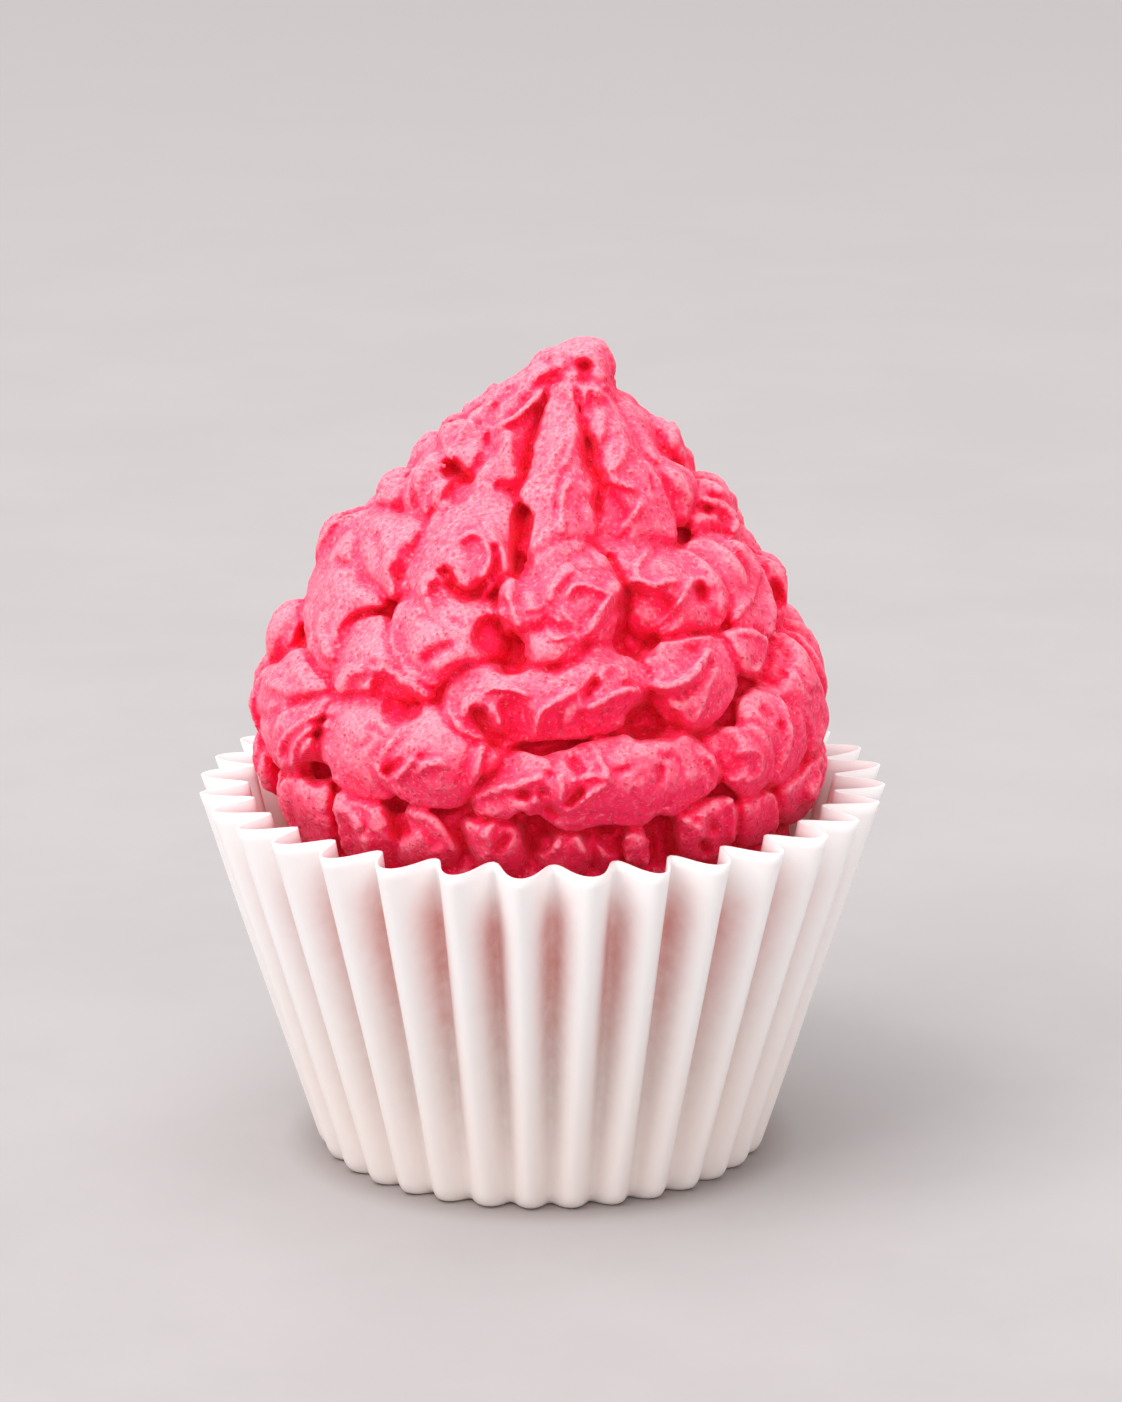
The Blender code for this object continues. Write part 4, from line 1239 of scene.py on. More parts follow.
    Fold(FoldKind.RIDGE, 0.8, 1.4, (14.9, 5.6, 14.5, 4.3, 13.4, 2.8, 11.9, 1.7, 10.1, 1.3, 9, 2)),
    Fold(FoldKind.HOLLOW, 1.6, 1.2, (10.1, 3.3, 12.4, 3.5, 13.7, 4.6)),
    Fold(FoldKind.CREASE, 0.9, 1.2, (9, 1.7, 10.3, 0.7, 12.4, 0.7, 14.5, 2.2, 15.5, 4.3)),
    Fold(FoldKind.HOLLOW, 2, 3.4, (9.3, -0.9, 8.2, -2.4, 10.8, -2.4)),
    Fold(FoldKind.RIDGE, 0.5, 0.6, (13.4, -2.4, 14.5, -0.4, 15, 1.7, 16, 3.8)),
    # Right strands
    Fold(FoldKind.LIP, 1.1, 0.45, (
        12.7, 18, 13.5, 20.5, 13.2, 22.4, 11.7, 23.8, 10.4, 25.5, 9.7, 27.1, 9, 28.8, 7.7, 30.1, 6.7, 31.2,
    )),
    Fold(FoldKind.CREASE, 0.8, 1, (9.1, 28.4, 9.9, 26.3, 10.6, 24.7)),
    Fold(FoldKind.RIDGE, 1, 1, (11.2, 28.4, 11.4, 26.7, 10.6, 25.1)),
    Fold(FoldKind.CREASE, 0.7, 0.9, (10.1, 28, 10.8, 26.3, 10.4, 25.1)),
    Fold(FoldKind.LIP, 1.1, 0.55, (
        16.9, 7.6, 18.6, 8.9, 19.8, 10.5, 20.1, 12.4, 19.5, 14.2, 18.1, 16, 16.3, 17, 14, 16.7, 12.1, 15.9,
    )),
    Fold(FoldKind.LIP, 1.2, 1.6, (
        19.9, 1.9, 21, 4.3, 21.5, 6.9, 21.7, 9, 21.2, 11.6, 20.2, 13.9, 18.9, 15.7, 17.6, 16.6,
    )),
    Fold(FoldKind.LIP, 1.2, 1.4, (19.7, 2.2, 20.7, 4.3, 20.7, 6.4, 19.2, 7.4, 17.1, 7.2, 16, 6.7)),
    Fold(FoldKind.HOLLOW, 0.9, 1.2, (21.9, 11.1, 22.1, 9.8)),
    Fold(FoldKind.CREASE, 0.8, 1.2, (21.4, 12.6, 22.1, 11.1, 21.9, 9, 21.6, 6.9)),
    Fold(FoldKind.HOLLOW, 1, 1.2, (13.7, 19.4, 14.7, 19.6)),
    Fold(FoldKind.CREASE, 1.4, 1.8, (12, 16.4, 13.2, 17.6, 15, 17.7, 16.8, 17.2)),
    Fold(FoldKind.LIP, 1.2, 1.4, (18, 16.6, 17.9, 18.3, 17.2, 19.8, 15.8, 20.5, 14, 20.9)),
    Fold(FoldKind.LIP, 1.1, 0.5, (
        21.1, -8.7, 23.3, -7.6, 24.7, -5.5, 25, -3.2, 24.2, -0.9, 22.8, 0.7, 21, 1.7, 19.9, 1.8,
    )),
    Fold(FoldKind.LIP, 0.8, 1.1, (21.2, -8.4, 22.8, -6.3, 23.4, -4, 23, -1.4, 22.1, 0.7)),
    Fold(FoldKind.LIP, 1.1, 0.5, (
        18.1, -9.7, 20.2, -9.2, 21.5, -7.4, 21.8, -5.3, 21, -3.5, 19.7, -2.4, 17.6, -2.5, 16, -2.7,
    )),
    Fold(FoldKind.HOLLOW, 1.8, 2.3, (15, -3.7, 16.6, -5, 17.3, -6.3)),
    Fold(FoldKind.RIDGE, 0.5, 0.8, (17.6, -5.5, 19.2, -5, 20.4, -5.5, 20.2, -7.4, 18.6, -8.4)),
    Fold(FoldKind.HOLLOW, 0.6, 1, (20.7, -0.9, 21.2, -1.7)),
    Fold(FoldKind.HOLLOW, 0.5, 0.8, (22.3, -2.3, 22.3, -2.7)),
    Fold(FoldKind.LIP, 1.2, 1.6, (
        25, -5.8, 26.3, -4.2, 27.1, -1.9, 26.7, 0.2, 25.8, 2.8, 24.3, 5.4, 22.8, 6.9,
    )),
    Fold(FoldKind.HOLLOW, 2.2, 2.6, (22, 4.8, 21.2, 2.8)),
    Fold(FoldKind.RIDGE, 0.5, 0.8, (22.5, 3.5, 23.8, 2.5, 24.9, 0.2, 25.6, -0.1)),
    Fold(FoldKind.RIDGE, 0.6, 0.8, (23.3, 5.6, 24.1, 4.3, 24.9, 2.8, 25.4, 0.9)),
    Fold(FoldKind.RIDGE, 0.6, 0.8, (21.2, 1.7, 22.8, 0.9, 24.3, -0.4, 25.3, -2.4, 25.4, -4.5)),
    # Left strands
    Fold(FoldKind.LIP, 1.1, 0.5, (
        -8.1, 27.6, -9.5, 28.6, -11.4, 28.3, -12.4, 26.9, -11.9, 25.3, -10.6, 23.8, -9.4, 22.9,
    )),
    Fold(FoldKind.HOLLOW, 1.4, 2.2, (-11.2, 23.5, -9.9, 22.4, -10.6, 21.1)),
    Fold(FoldKind.LIP, 1.1, 0.5, (
        -12.6, 26.5, -14.1, 24.4, -15, 22.4, -14.7, 20.5, -14.1, 19, -13.3, 18.3,
    )),
    Fold(FoldKind.RIDGE, 0.8, 1, (-12.4, 22.2, -12.2, 21.1, -13.1, 19.5)),
    Fold(FoldKind.CREASE, 0.8, 1, (-13.4, 20.9, -13.1, 19.3, -12.4, 19.9)),
    Fold(FoldKind.LIP, 1.1, 0.5, (-20.1, 19.3, -20.8, 16.8, -20.7, 14.4, -19.8, 12.6, -18, 10.8)),
    Fold(FoldKind.RIDGE, 0.9, 1.3, (-16.7, 15.1, -17.9, 13.6, -17.7, 11.9, -16.7, 10.2)),
    Fold(FoldKind.CREASE, 0.8, 1, (-18.9, 17.6, -18.6, 15.3, -18.2, 13.1, -17.4, 11.1)),
    Fold(FoldKind.CREASE, 0.8, 1, (-15.4, 16.1, -16.4, 14.1, -16.7, 11.9)),
    Fold(FoldKind.HOLLOW, 0.8, 1.7, (-22.5, 14, -21.7, 13.8)),
    Fold(FoldKind.RIDGE, 1, 1, (-20.9, 17.2, -22.3, 15.3, -23.1, 13.4)),
    Fold(FoldKind.LIP, 1.1, 0.55, (-26.1, 10.2, -26.1, 7.7, -25.7, 5.5, -24.7, 3.5, -23.4, 2.4)),
    Fold(FoldKind.RIDGE, 0.8, 1, (-23.8, 9.2, -24.4, 7.2, -23.9, 5.2, -23.2, 4)),
    Fold(FoldKind.LIP, 1.1, 0.55, (
        -17.4, 8.7, -20.1, 8.6, -22.1, 7.3, -23.1, 5.5, -23.5, 3.3, -23.1, 1.5, -22.3, 0.2,
    )),
    Fold(FoldKind.LIP, 1.1, 0.4, (-16.7, 9.7, -18.9, 10.2, -21.4, 9.5, -23.1, 7.9)),
    Fold(FoldKind.LIP, 0.5, 0.8, (-19.9, 3.5, -18.9, 2.9, -17.9, 3.3, -18.3, 4.5, -19.1, 4.9, -19.9, 4.2)),
    Fold(FoldKind.RIDGE, 1, 1.4, (-21.8, 0.2, -22.1, 1.5, -21.4, 2.9, -19.6, 3.3)),
    Fold(FoldKind.HOLLOW, 1.6, 2.3, (-17.9, 1.5, -16.4, 0.3, -15.4, -0.4)),
    Fold(FoldKind.RIDGE, 0.9, 0.8, (-20.2, 1.8, -19.9, 1)),
    Fold(FoldKind.RIDGE, 1.4, 0.8, (-16.4, 2.8, -14.2, 1.5, -12.5, 0.3)),
    Fold(FoldKind.HOLLOW, 1, 1, (-26.3, 7, -26.5, 6.2)),
    Fold(FoldKind.LIP, 1.1, 0.45, (-22.6, 0.5, -25.3, 0.2, -27.5, -0.7, -29, -1.8)),
    Fold(FoldKind.LIP, 1.1, 0.5, (-28.5, 4.1, -30, 3, -30.8, 0.5, -30.8, -1.9, -30.1, -4.4, -28.9, -6.5)),
    Fold(FoldKind.RIDGE, 0.55, 1, (-23.1, -0.9, -25.5, -1.8, -27.5, -3.2, -28.4, -4.9, -27.9, -7.1)),
    Fold(FoldKind.RIDGE, 0.55, 1, (-23.3, -2.2, -25.5, -2.9, -27, -4.6, -27.2, -6.9)),
    Fold(FoldKind.RIDGE, 0.55, 1, (-25.1, -3.6, -26.3, -5.1, -26.3, -6.6)),
    Fold(FoldKind.CREASE, 0.45, 0.9, (-23.1, -1.6, -25.8, -2.3, -27.8, -4.1, -28.1, -5.9)),
    Fold(FoldKind.CREASE, 0.45, 0.9, (-23.8, -2.8, -26.3, -4.1, -26.8, -6.1)),
    Fold(FoldKind.HOLLOW, 1.6, 2.6, (-25.5, -6.7, -24.6, -7.5)),
    Fold(FoldKind.CREASE, 0.5, 0.7, (-29.5, -2.4, -28.5, -1.8, -27.3, -1.6)),
    Fold(FoldKind.RIDGE, 0.8, 0.8, (-30.2, 1.8, -28.8, 1.5, -27.3, 0.8)),
    # Left rolls
    Fold(FoldKind.LIP, 1.1, 0.65, (
        -22.5, 0.2, -23.9, -1.2, -24.6, -3.4, -24.2, -6.1, -23.1, -8.1, -21.1, -9.5, -18.9, -10.1,
        -16.7, -9.7,
    )),
    Fold(FoldKind.LIP, 1.1, 0.55, (
        -19.1, -6.9, -17.9, -8.7, -15.9, -10.1, -13.5, -10.9, -10.8, -10.9, -9.3, -10.3,
    )),
    Fold(FoldKind.LIP, 1.1, 0.5, (-13.2, -0.3, -15.3, -0.8, -16.4, -2.5, -17.7, -4.1, -19.1, -5.9)),
    Fold(FoldKind.HOLLOW, 0.7, 1.4, (-17.7, -7.1, -16.4, -6.4, -15.7, -5.6)),
    Fold(FoldKind.RIDGE, 0.6, 1.3, (-16.9, -8.2, -15.7, -6.6, -14.9, -5.6)),
    Fold(FoldKind.RIDGE, 0.5, 1, (-16.4, -5.4, -14.2, -6.4, -12, -5.9)),
    Fold(FoldKind.RIDGE, 0.5, 0.8, (-15.2, -7.5, -13.2, -6.6, -11.5, -6.5)),
    Fold(FoldKind.HOLLOW, 0.5, 1, (-14.5, -5.9, -14, -5.6)),
    Fold(FoldKind.LIP, 1.2, 1.4, (-9.3, -10.3, -8.3, -7.8, -7.8, -5.4, -7.2, -4.1)),
    Fold(FoldKind.CREASE, 0.6, 0.8, (-19.9, -2.2, -18.6, -3.2, -17.9, -3.6)),
    Fold(FoldKind.CREASE, 0.5, 0.7, (-21.4, -4.3, -20.4, -4.7, -19.3, -3.6)),
    Fold(FoldKind.HOLLOW, 1.6, 2.1, (-15.5, -0.8, -16.9, -1.2)),
    # Upper roll
    Fold(FoldKind.LIP, 1.1, 0.55, (
        8.7, 2.7, 7.4, 4.3, 5.4, 5.4, 3.1, 5.5, 1.2, 4.9, -0.5, 3.8, -2.1, 3.2, -4.2, 3.7, -6.3, 3.8,
        -9.2, 3.3, -11, 2.2, -12.1, 0.6,
    )),
    Fold(FoldKind.LIP, 1.1, 0.7, (
        -12.1, -0.2, -11, -2.3, -9.2, -3.8, -6.5, -4.4, -5, -4.9, -2.5, -4.1, 0, -3.9, 2.5, -3.8,
        4.5, -3.4, 6.6, -2.3, 8.3, -0.8, 8.9, 1.1,
    )),
    Fold(FoldKind.HOLLOW, 1.2, 2.1, (-8.5, -1.1, -7.5, -2.7, -6.5, -3.9)),
    Fold(FoldKind.RIDGE, 0.9, 1.4, (-9.9, -2.1, -9.5, -0.6, -8.6, 0, -7.9, -1)),
    Fold(FoldKind.LIP, 1, 1.4, (-8.1, 0.5, -6.3, 1, -4.6, 0.8, -3.1, 0)),
    Fold(FoldKind.HOLLOW, 1.8, 2, (-5, -1, -4.2, -2.3, -4.6, -3.5)),
    Fold(FoldKind.RIDGE, 0.5, 0.8, (-7.5, -0.6, -6.3, -1.4, -6.5, -2.9)),
    Fold(FoldKind.LIP, 1, 1.6, (-0.9, 0, -2, -0.6, -2.7, -1.9, -2.9, -3.7)),
    Fold(FoldKind.RIDGE, 0.8, 1, (1.8, 1.1, 0.8, 0.8, -0.7, -0.2, -1.7, -0.5)),
    Fold(FoldKind.CREASE, 1, 2.1, (2.6, -0.2, 2.8, 1.1, 4, 2.3)),
    Fold(FoldKind.LIP, 1.2, 1.4, (8.3, 1.5, 6.6, 1.4, 4.9, 0.8, 3.5, 0, 2.2, -0.8)),
    Fold(FoldKind.CREASE, 0.8, 1.2, (2.2, -0.8, 2, -2.3, 3.1, -3.5)),
    Fold(FoldKind.RIDGE, 0.5, 0.6, (4.3, 1.9, 4.1, 2.9, 4.9, 3.5, 6, 3.4, 6.5, 2.7, 6.2, 1.9)),
    Fold(FoldKind.CREASE, 0.6, 0.5, (-0.7, 2.5, 0.2, 3.3, 2.2, 4.4)),
    Fold(FoldKind.RIDGE, 0.6, 0.6, (2, 1.1, 3, 2.5, 3.1, 3.5)),
    Fold(FoldKind.CREASE, 0.7, 0.9, (0, -0.6, -0.2, -1.9, -0.5, -3.5)),
    # Lower roll
    Fold(FoldKind.LIP, 1.1, 0.55, (
        16.4, -7.5, 15.5, -5.8, 14.1, -4.2, 12.4, -3.2, 10.6, -2.8, 8.3, -3.1, 5.8, -3.5, 3.3, -4,
        1.2, -4.8, -0.9, -5.2, -2.1, -5.6, -4.2, -5, -5.6, -5.8, -6.1, -7, -7.5, -8, -8.8, -8.9,
        -9.2, -10.4,
    )),
    Fold(FoldKind.LIP, 1.1, 0.8, (
        -9.2, -10.6, -8.6, -11.6, -7.1, -11.7, -5.3, -11.9, -4, -11, -2.6, -12.2, -1.7, -12.1, 0, -12.9,
        2, -13.1, 4.3, -12.4, 6.6, -12.7, 9.1, -12.5, 11.8, -11.5, 14.3, -9.8, 16.2, -8.1,
    )),
    Fold(FoldKind.HOLLOW, 0.8, 1.2, (-0.9, -6.9, -0.8, -7.4)),
    Fold(FoldKind.HOLLOW, 1.1, 1.4, (1.3, -6.4, 1.8, -7.3)),
    Fold(FoldKind.HOLLOW, 0.9, 1.3, (-1.8, -9.3, -1.6, -9.7)),
    Fold(FoldKind.HOLLOW, 0.9, 1.7, (-1.2, -11.1, -0.9, -11.4)),
    Fold(FoldKind.HOLLOW, 0.7, 1.4, (1, -10.4, 2, -9.2)),
    Fold(FoldKind.HOLLOW, 0.8, 1.2, (-4, -9.5, -3.4, -9.5)),
    Fold(FoldKind.RIDGE, 0.6, 1.1, (-8.8, -10, -6.9, -9.1, -5, -8.7, -3.4, -8.2, -1.7, -7.5)),
    Fold(FoldKind.RIDGE, 0.5, 1, (-1.7, -6.4, -0.4, -7.5, 0.2, -8.7, -0.1, -10.4)),
    Fold(FoldKind.RIDGE, 0.5, 1, (
        0.8, -8.3, 2.7, -7.7, 4.5, -7.8, 4.9, -8.4, 3.3, -9.3, 1.2, -10.9, 0.2, -11.3,
    )),
    Fold(FoldKind.RIDGE, 0.5, 1, (3.5, -4.8, 3.9, -6, 4.7, -7.3, 5, -8.3)),
    Fold(FoldKind.RIDGE, 0.5, 0.8, (0, -6.1, 1, -7.4, 1.6, -8.2)),
    Fold(FoldKind.CREASE, 0.6, 1.2, (5.2, -7.3, 6.2, -7, 7.4, -6.6)),
    Fold(FoldKind.CREASE, 0.5, 1, (9.5, -5.8, 11, -5.6, 12.2, -6.4, 12.4, -7.7, 12, -8.3)),
    Fold(FoldKind.HOLLOW, 0.5, 1.3, (10.1, -6.8, 10.1, -8.1)),
    Fold(FoldKind.CREASE, 0.45, 0.8, (7.4, -8.9, 7.9, -10.4, 9.1, -11, 10.6, -10.6, 11.4, -9.5)),
    Fold(FoldKind.CREASE, 0.4, 0.7, (14.3, -5.8, 14.9, -7)),
    Fold(FoldKind.CREASE, 0.4, 0.5, (7.9, -3.3, 9.3, -4.6)),
    Fold(FoldKind.RIDGE, 1, 1, (-8.1, -4.3, -7.9, -6, -8.8, -8.1)),
    # Rim row
    Fold(FoldKind.LIP, 1.2, 1.4, (-22.1, -8.7, -22.8, -10.3, -22.5, -12.8, -22.1, -15.5)),
    Fold(FoldKind.LIP, 1.2, 1.3, (-27.8, -7.1, -28.3, -9.1, -28, -11.8)),
    Fold(FoldKind.RIDGE, 0.8, 1.1, (-22.6, -10.3, -20.9, -12, -19.9, -14, -19.4, -16)),
    Fold(FoldKind.CREASE, 0.8, 1, (-21.4, -10.6, -19.9, -12, -20.4, -14)),
    Fold(FoldKind.RIDGE, 0.9, 1.3, (-16.2, -10.9, -13.2, -11.8, -11.5, -13.5, -10.3, -15.7)),
    Fold(FoldKind.CREASE, 0.8, 1.3, (-16.4, -12, -14.2, -13, -12.5, -15.2)),
    Fold(FoldKind.HOLLOW, 1.6, 2.6, (-16.7, -11.3, -16.1, -12.8)),
    Fold(FoldKind.HOLLOW, 1.6, 4.2, (-2.7, -12.9, -2.3, -14.1)),
    Fold(FoldKind.RIDGE, 0.6, 1.1, (-8.3, -14.1, -7.1, -12.7, -6.1, -11.8)),
    Fold(FoldKind.HOLLOW, 0.7, 1.3, (-6.3, -14.9, -5.6, -13.9)),
    Fold(FoldKind.RIDGE, 0.6, 0.8, (-7.4, -13.3, -7.3, -14.7, -7.8, -16.4)),
    Fold(FoldKind.RIDGE, 0.7, 1.1, (0, -13.3, -0.5, -14.7, -1.7, -15.6)),
    Fold(FoldKind.RIDGE, 0.7, 1, (1.2, -13.5, 2, -14.7, 2.9, -16.4)),
    Fold(FoldKind.HOLLOW, 1, 1.7, (-1.1, -13.9, -1.5, -14.7)),
    Fold(FoldKind.HOLLOW, 1.4, 2.5, (4.5, -13.6, 5.4, -14.4)),
    Fold(FoldKind.LIP, 0.8, 1.3, (6.6, -13.3, 6.3, -14.7, 6.6, -16, 7.1, -16.6)),
    Fold(FoldKind.LIP, 1, 1.6, (8.5, -17, 9.2, -15.4, 9.1, -13.5)),
    Fold(FoldKind.HOLLOW, 2, 2.5, (10.4, -13.1, 10.1, -15.1)),
    Fold(FoldKind.LIP, 1.2, 1.6, (17.4, -14.7, 17.9, -12.4, 17.8, -10.6, 16.6, -9.5)),
    Fold(FoldKind.HOLLOW, 0.8, 1.4, (15.2, -12.4, 15.4, -13)),
    Fold(FoldKind.HOLLOW, 0.9, 1.8, (14.4, -14.6, 14.6, -15.1)),
    Fold(FoldKind.HOLLOW, 0.5, 0.8, (13.7, -12.1, 13.7, -12.4)),
    Fold(FoldKind.HOLLOW, 0.5, 0.8, (12.6, -13.2, 12.6, -13.5)),
    Fold(FoldKind.RIDGE, 0.5, 0.8, (11.6, -11.8, 12.8, -12.2, 14.3, -13.3, 13.7, -14.7)),
    Fold(FoldKind.RIDGE, 0.5, 0.8, (14.6, -11.4, 14.8, -13.3)),
    Fold(FoldKind.LIP, 1, 1.3, (21.6, -13.6, 22, -11.5, 21.6, -9.7, 20.7, -8.9)),
    Fold(FoldKind.LIP, 1, 1.3, (25, -11.5, 26, -9.2, 26.6, -6.6, 26.3, -5)),
)


@dataclass
class IcingPile:
    """The piled icing: piped lobes fused to one mass, folded and pitted."""

    pile: Pile = field(default_factory=Pile)
    bottom: float = 29.3
    clear_height: float = 39.0
    voxel: float = 0.27
    quick_voxel: float = 0.4
    triangles: int = 196000
    core_inset: float = 3.9
    core_foot_inset: float = 2.5
    core_foot_height: float = 38.0
    core_top: float = 79.0
    gap_depth: float = 1.5
    gap_reach: float = 0.95
    joined_depth: float = 0.6
    edge_drop: float = 0.4
    edge_round: float = 0.7
    front_edge: float = 0.5
    rear_edge: float = 2.5
    even_rounds: int = 4
    least_facing: float = 0.02
    facing_ease: float = 0.3
    full_facing: float = 0.6
    drift: float = 0.08
    drift_size: float = 1.7
    swell: float = 0.3
    swell_size: float = 2.3
    most_sunk: float = 2.0
    most_raised: float = 1.8
    torn_size: float = 4.5
    least_torn: float = 0.15
    rays: int = 14
    quick_rays: int = 6
    brightest: tuple[float, float, float] = (-0.34, -0.26, 0.9)
    lobe_seed: int = 5
    finish: IcingFinish = field(default_factory=IcingFinish)
    strands: dict[str, tuple[Lobe, ...]] = field(
        default_factory=lambda: {
            "crown": (
                Lobe(90, 80.9, 3.3, 3.6),
                Lobe(-110, 80.0, 3.1, 3.2),
                Lobe(20, 79.0, 3.2, 3.0),
            ),
            "middle": (
                Lobe(3, 72.0, 4.0, 9.6, 2, 0.35),
                Lobe(3, 66.5, 4.2, 4.4, 0, 0.1),
                Lobe(12, 61.6, 4.6, 5.2),
                Lobe(-4, 61.8, 2.6, 2.8),
                Lobe(1, 58.8, 3.4, 2.2),
            ),
            "right_front": (
                Lobe(32, 74.0, 3.6, 8.4, 0, 0.45),
                Lobe(40, 68.6, 4.4, 4.8, 0, 0.2),
                Lobe(44, 61.4, 5.4, 4.9),
                Lobe(37, 53.8, 5.6, 5.0),
                Lobe(46, 46.0, 4.6, 4.2),
            ),
            "right": (
                Lobe(62, 75.2, 2.9, 6.4, 0, 0.4),
                Lobe(66, 69.4, 3.4, 4.6, 0, 0.1),
                Lobe(82, 65.6, 3.6, 4.2),
                Lobe(65, 61.2, 4.0, 4.8),
                Lobe(54, 65.6, 3.4, 3.4),
                Lobe(63, 57.4, 3.6, 6.0),
                Lobe(54, 54.2, 3.2, 3.8),
                Lobe(52, 49.8, 4.0, 4.2),
                Lobe(58, 47.2, 4.0, 5.4),
            ),
            "right_back": (
                Lobe(97, 73.4, 3.0, 4.6, 0, 0.2),
                Lobe(98, 66.4, 3.7, 4.4),
                Lobe(86, 58.5, 4.0, 5.2),
                Lobe(83, 48.9, 4.9, 6.4),
                Lobe(68, 41.2, 2.8, 3.6),
                Lobe(82, 40.4, 3.2, 4.0),
            ),
            "left_front": (
                Lobe(-30, 75.0, 3.2, 7.6, 0, 0.45),
                Lobe(-30, 66.4, 5.8, 6.2, 0, 0.25),
                Lobe(-28, 57.7, 6.0, 5.6, 0, 0.1),
                Lobe(-25, 47.6, 5.0, 5.4),
            ),
            "left": (
                Lobe(-96, 77.4, 2.6, 5.6, 0, 0.3),
                Lobe(-68, 75.6, 2.8, 4.6, 0, 0.3),
                Lobe(-82, 73.4, 2.7, 2.8),
                Lobe(-64, 70.2, 3.2, 4.6),
                Lobe(-59, 64.4, 4.2, 5.6),
                Lobe(-62, 57.4, 4.8, 5.2),
                Lobe(-45, 54.6, 5.0, 4.8),
                Lobe(-42, 47.0, 5.0, 5.2),
                Lobe(-53, 43.2, 3.6, 3.6),
            ),
            "left_back": (
                Lobe(-80, 68.0, 2.7, 3.0),
                Lobe(-93, 61.8, 4.6, 6.4),
                Lobe(-90, 52.8, 4.2, 5.0),
                Lobe(-82, 47.2, 4.2, 5.2),
                Lobe(-66, 47.4, 4.8, 5.4),
            ),
            "upper_roll": (
                Lobe(-12, 52.8, 5.6, 4.2, -8),
                Lobe(1, 53.2, 4.6, 4.0, -8),
                Lobe(15, 53.8, 5.3, 4.4, -8),
            ),
            "lower_roll": (
                Lobe(-7, 45.2, 4.6, 3.4),
                Lobe(9, 45.3, 5.6, 4.3),
                Lobe(27, 45.3, 6.2, 4.8, 5),
                Lobe(-12, 48.2, 3.0, 2.6),
            ),
            "rim_row": (
                Lobe(-88, 41.2, 3.8, 5.0),
                Lobe(-68, 38.8, 3.6, 5.0),
                Lobe(-55, 39.6, 4.0, 5.4),
                Lobe(-38, 38.8, 4.2, 5.2),
                Lobe(-23, 38.8, 4.0, 4.8),
                Lobe(-9, 38.8, 4.0, 4.8),
                Lobe(6, 38.6, 4.2, 4.8),
                Lobe(21, 38.6, 3.8, 4.8),
                Lobe(37, 39.0, 4.0, 4.8),
                Lobe(50, 39.2, 3.6, 4.8),
            ),
        }
    )

    def mirrored(self, piece: bpy.types.Object) -> bpy.types.Object:
        """Copy a piece of the front to the rear.

        Args:
            piece: The piece of the front.

        Returns:
            Its mirrored copy.
        """
        twin = piece.copy()
        twin.data = piece.data.copy()
        set_points(twin, points_of(twin) * (1.0, -1.0, 1.0))
        twin.data.flip_normals()
        return twin

    def core(self) -> bpy.types.Object:
        """Model the solid middle of the pile.

        Returns:
            The middle.
        """
        clear_choice()
        rise = self.core_top - self.bottom + 1.0
        bpy.ops.mesh.primitive_cylinder_add(vertices=96, radius=1.0, depth=rise, end_fill_type="TRIFAN")
        core = bpy.context.object
        core.name = "icing"
        for cut in range(1, 40):
            bpy.ops.object.mode_set(mode="EDIT")
            bpy.ops.mesh.select_all(action="SELECT")
            level = -0.5 * rise + rise * cut / 40
            bpy.ops.mesh.bisect(plane_co=(0.0, 0.0, level), plane_no=(0.0, 0.0, 1.0))
            bpy.ops.object.mode_set(mode="OBJECT")
        places = points_of(core)
        places[:, 2] += self.bottom - 1.0 + 0.5 * rise
        for i, (x, y, height) in enumerate(places):
            share = (height - self.core_foot_height) / (self.pile.belly_height - self.core_foot_height)
            inset = self.core_foot_inset
            inset += (self.core_inset - self.core_foot_inset) * min(max(share, 0.0), 1.0)
            radius = max(self.pile.radius_at(height) - inset, 1.0)
            places[i, 0] = radius * x + self.pile.lean_at(height)
            places[i, 1] = radius * y
        set_points(core, places * MM)
        return core

    def gather(self, mass: bpy.types.Object, pieces: list[bpy.types.Object]) -> None:
        """Join overlapping pieces to the mass, for remeshing to melt them into one.

        Args:
            mass: The middle of the pile.
            pieces: The pieces, which are used up.
        """
        clear_choice()
        for piece in pieces:
            bpy.context.scene.collection.objects.link(set_aside(piece))
            piece.select_set(True)
        mass.select_set(True)
        bpy.context.view_layer.objects.active = mass
        bpy.ops.object.join()

    def room(self, case: "PaperCase", gap: float = 0.65) -> bpy.types.Object:
        """Model the room that the icing is kept within.

        Args:
            case: The paper case round its lower part.
            gap: How far the icing stays from the case's valleys.

        Returns:
            The room.
        """
        rings = (
            (self.bottom, case.valley_at(self.bottom) - gap),
            (self.clear_height, case.valley_at(self.clear_height) - gap),
            (self.clear_height + 4.0, case.rim_ridge),
            (95.0, case.rim_ridge),
        )
        clear_choice()
        bpy.ops.mesh.primitive_circle_add(vertices=128, radius=1.0, fill_type="NGON")
        room = bpy.context.object
        bpy.ops.object.mode_set(mode="EDIT")
        for _ in rings[1:]:
            bpy.ops.mesh.extrude_region_move(TRANSFORM_OT_translate={"value": (0.0, 0.0, 1.0)})
        bpy.ops.mesh.select_all(action="SELECT")
        bpy.ops.mesh.normals_make_consistent(inside=False)
        bpy.ops.object.mode_set(mode="OBJECT")
        places = points_of(room)
        for i, (x, y, level) in enumerate(places):
            height, radius = rings[int(round(level))]
            places[i] = (radius * x, radius * y, height)
        set_points(room, places * MM)
        return room

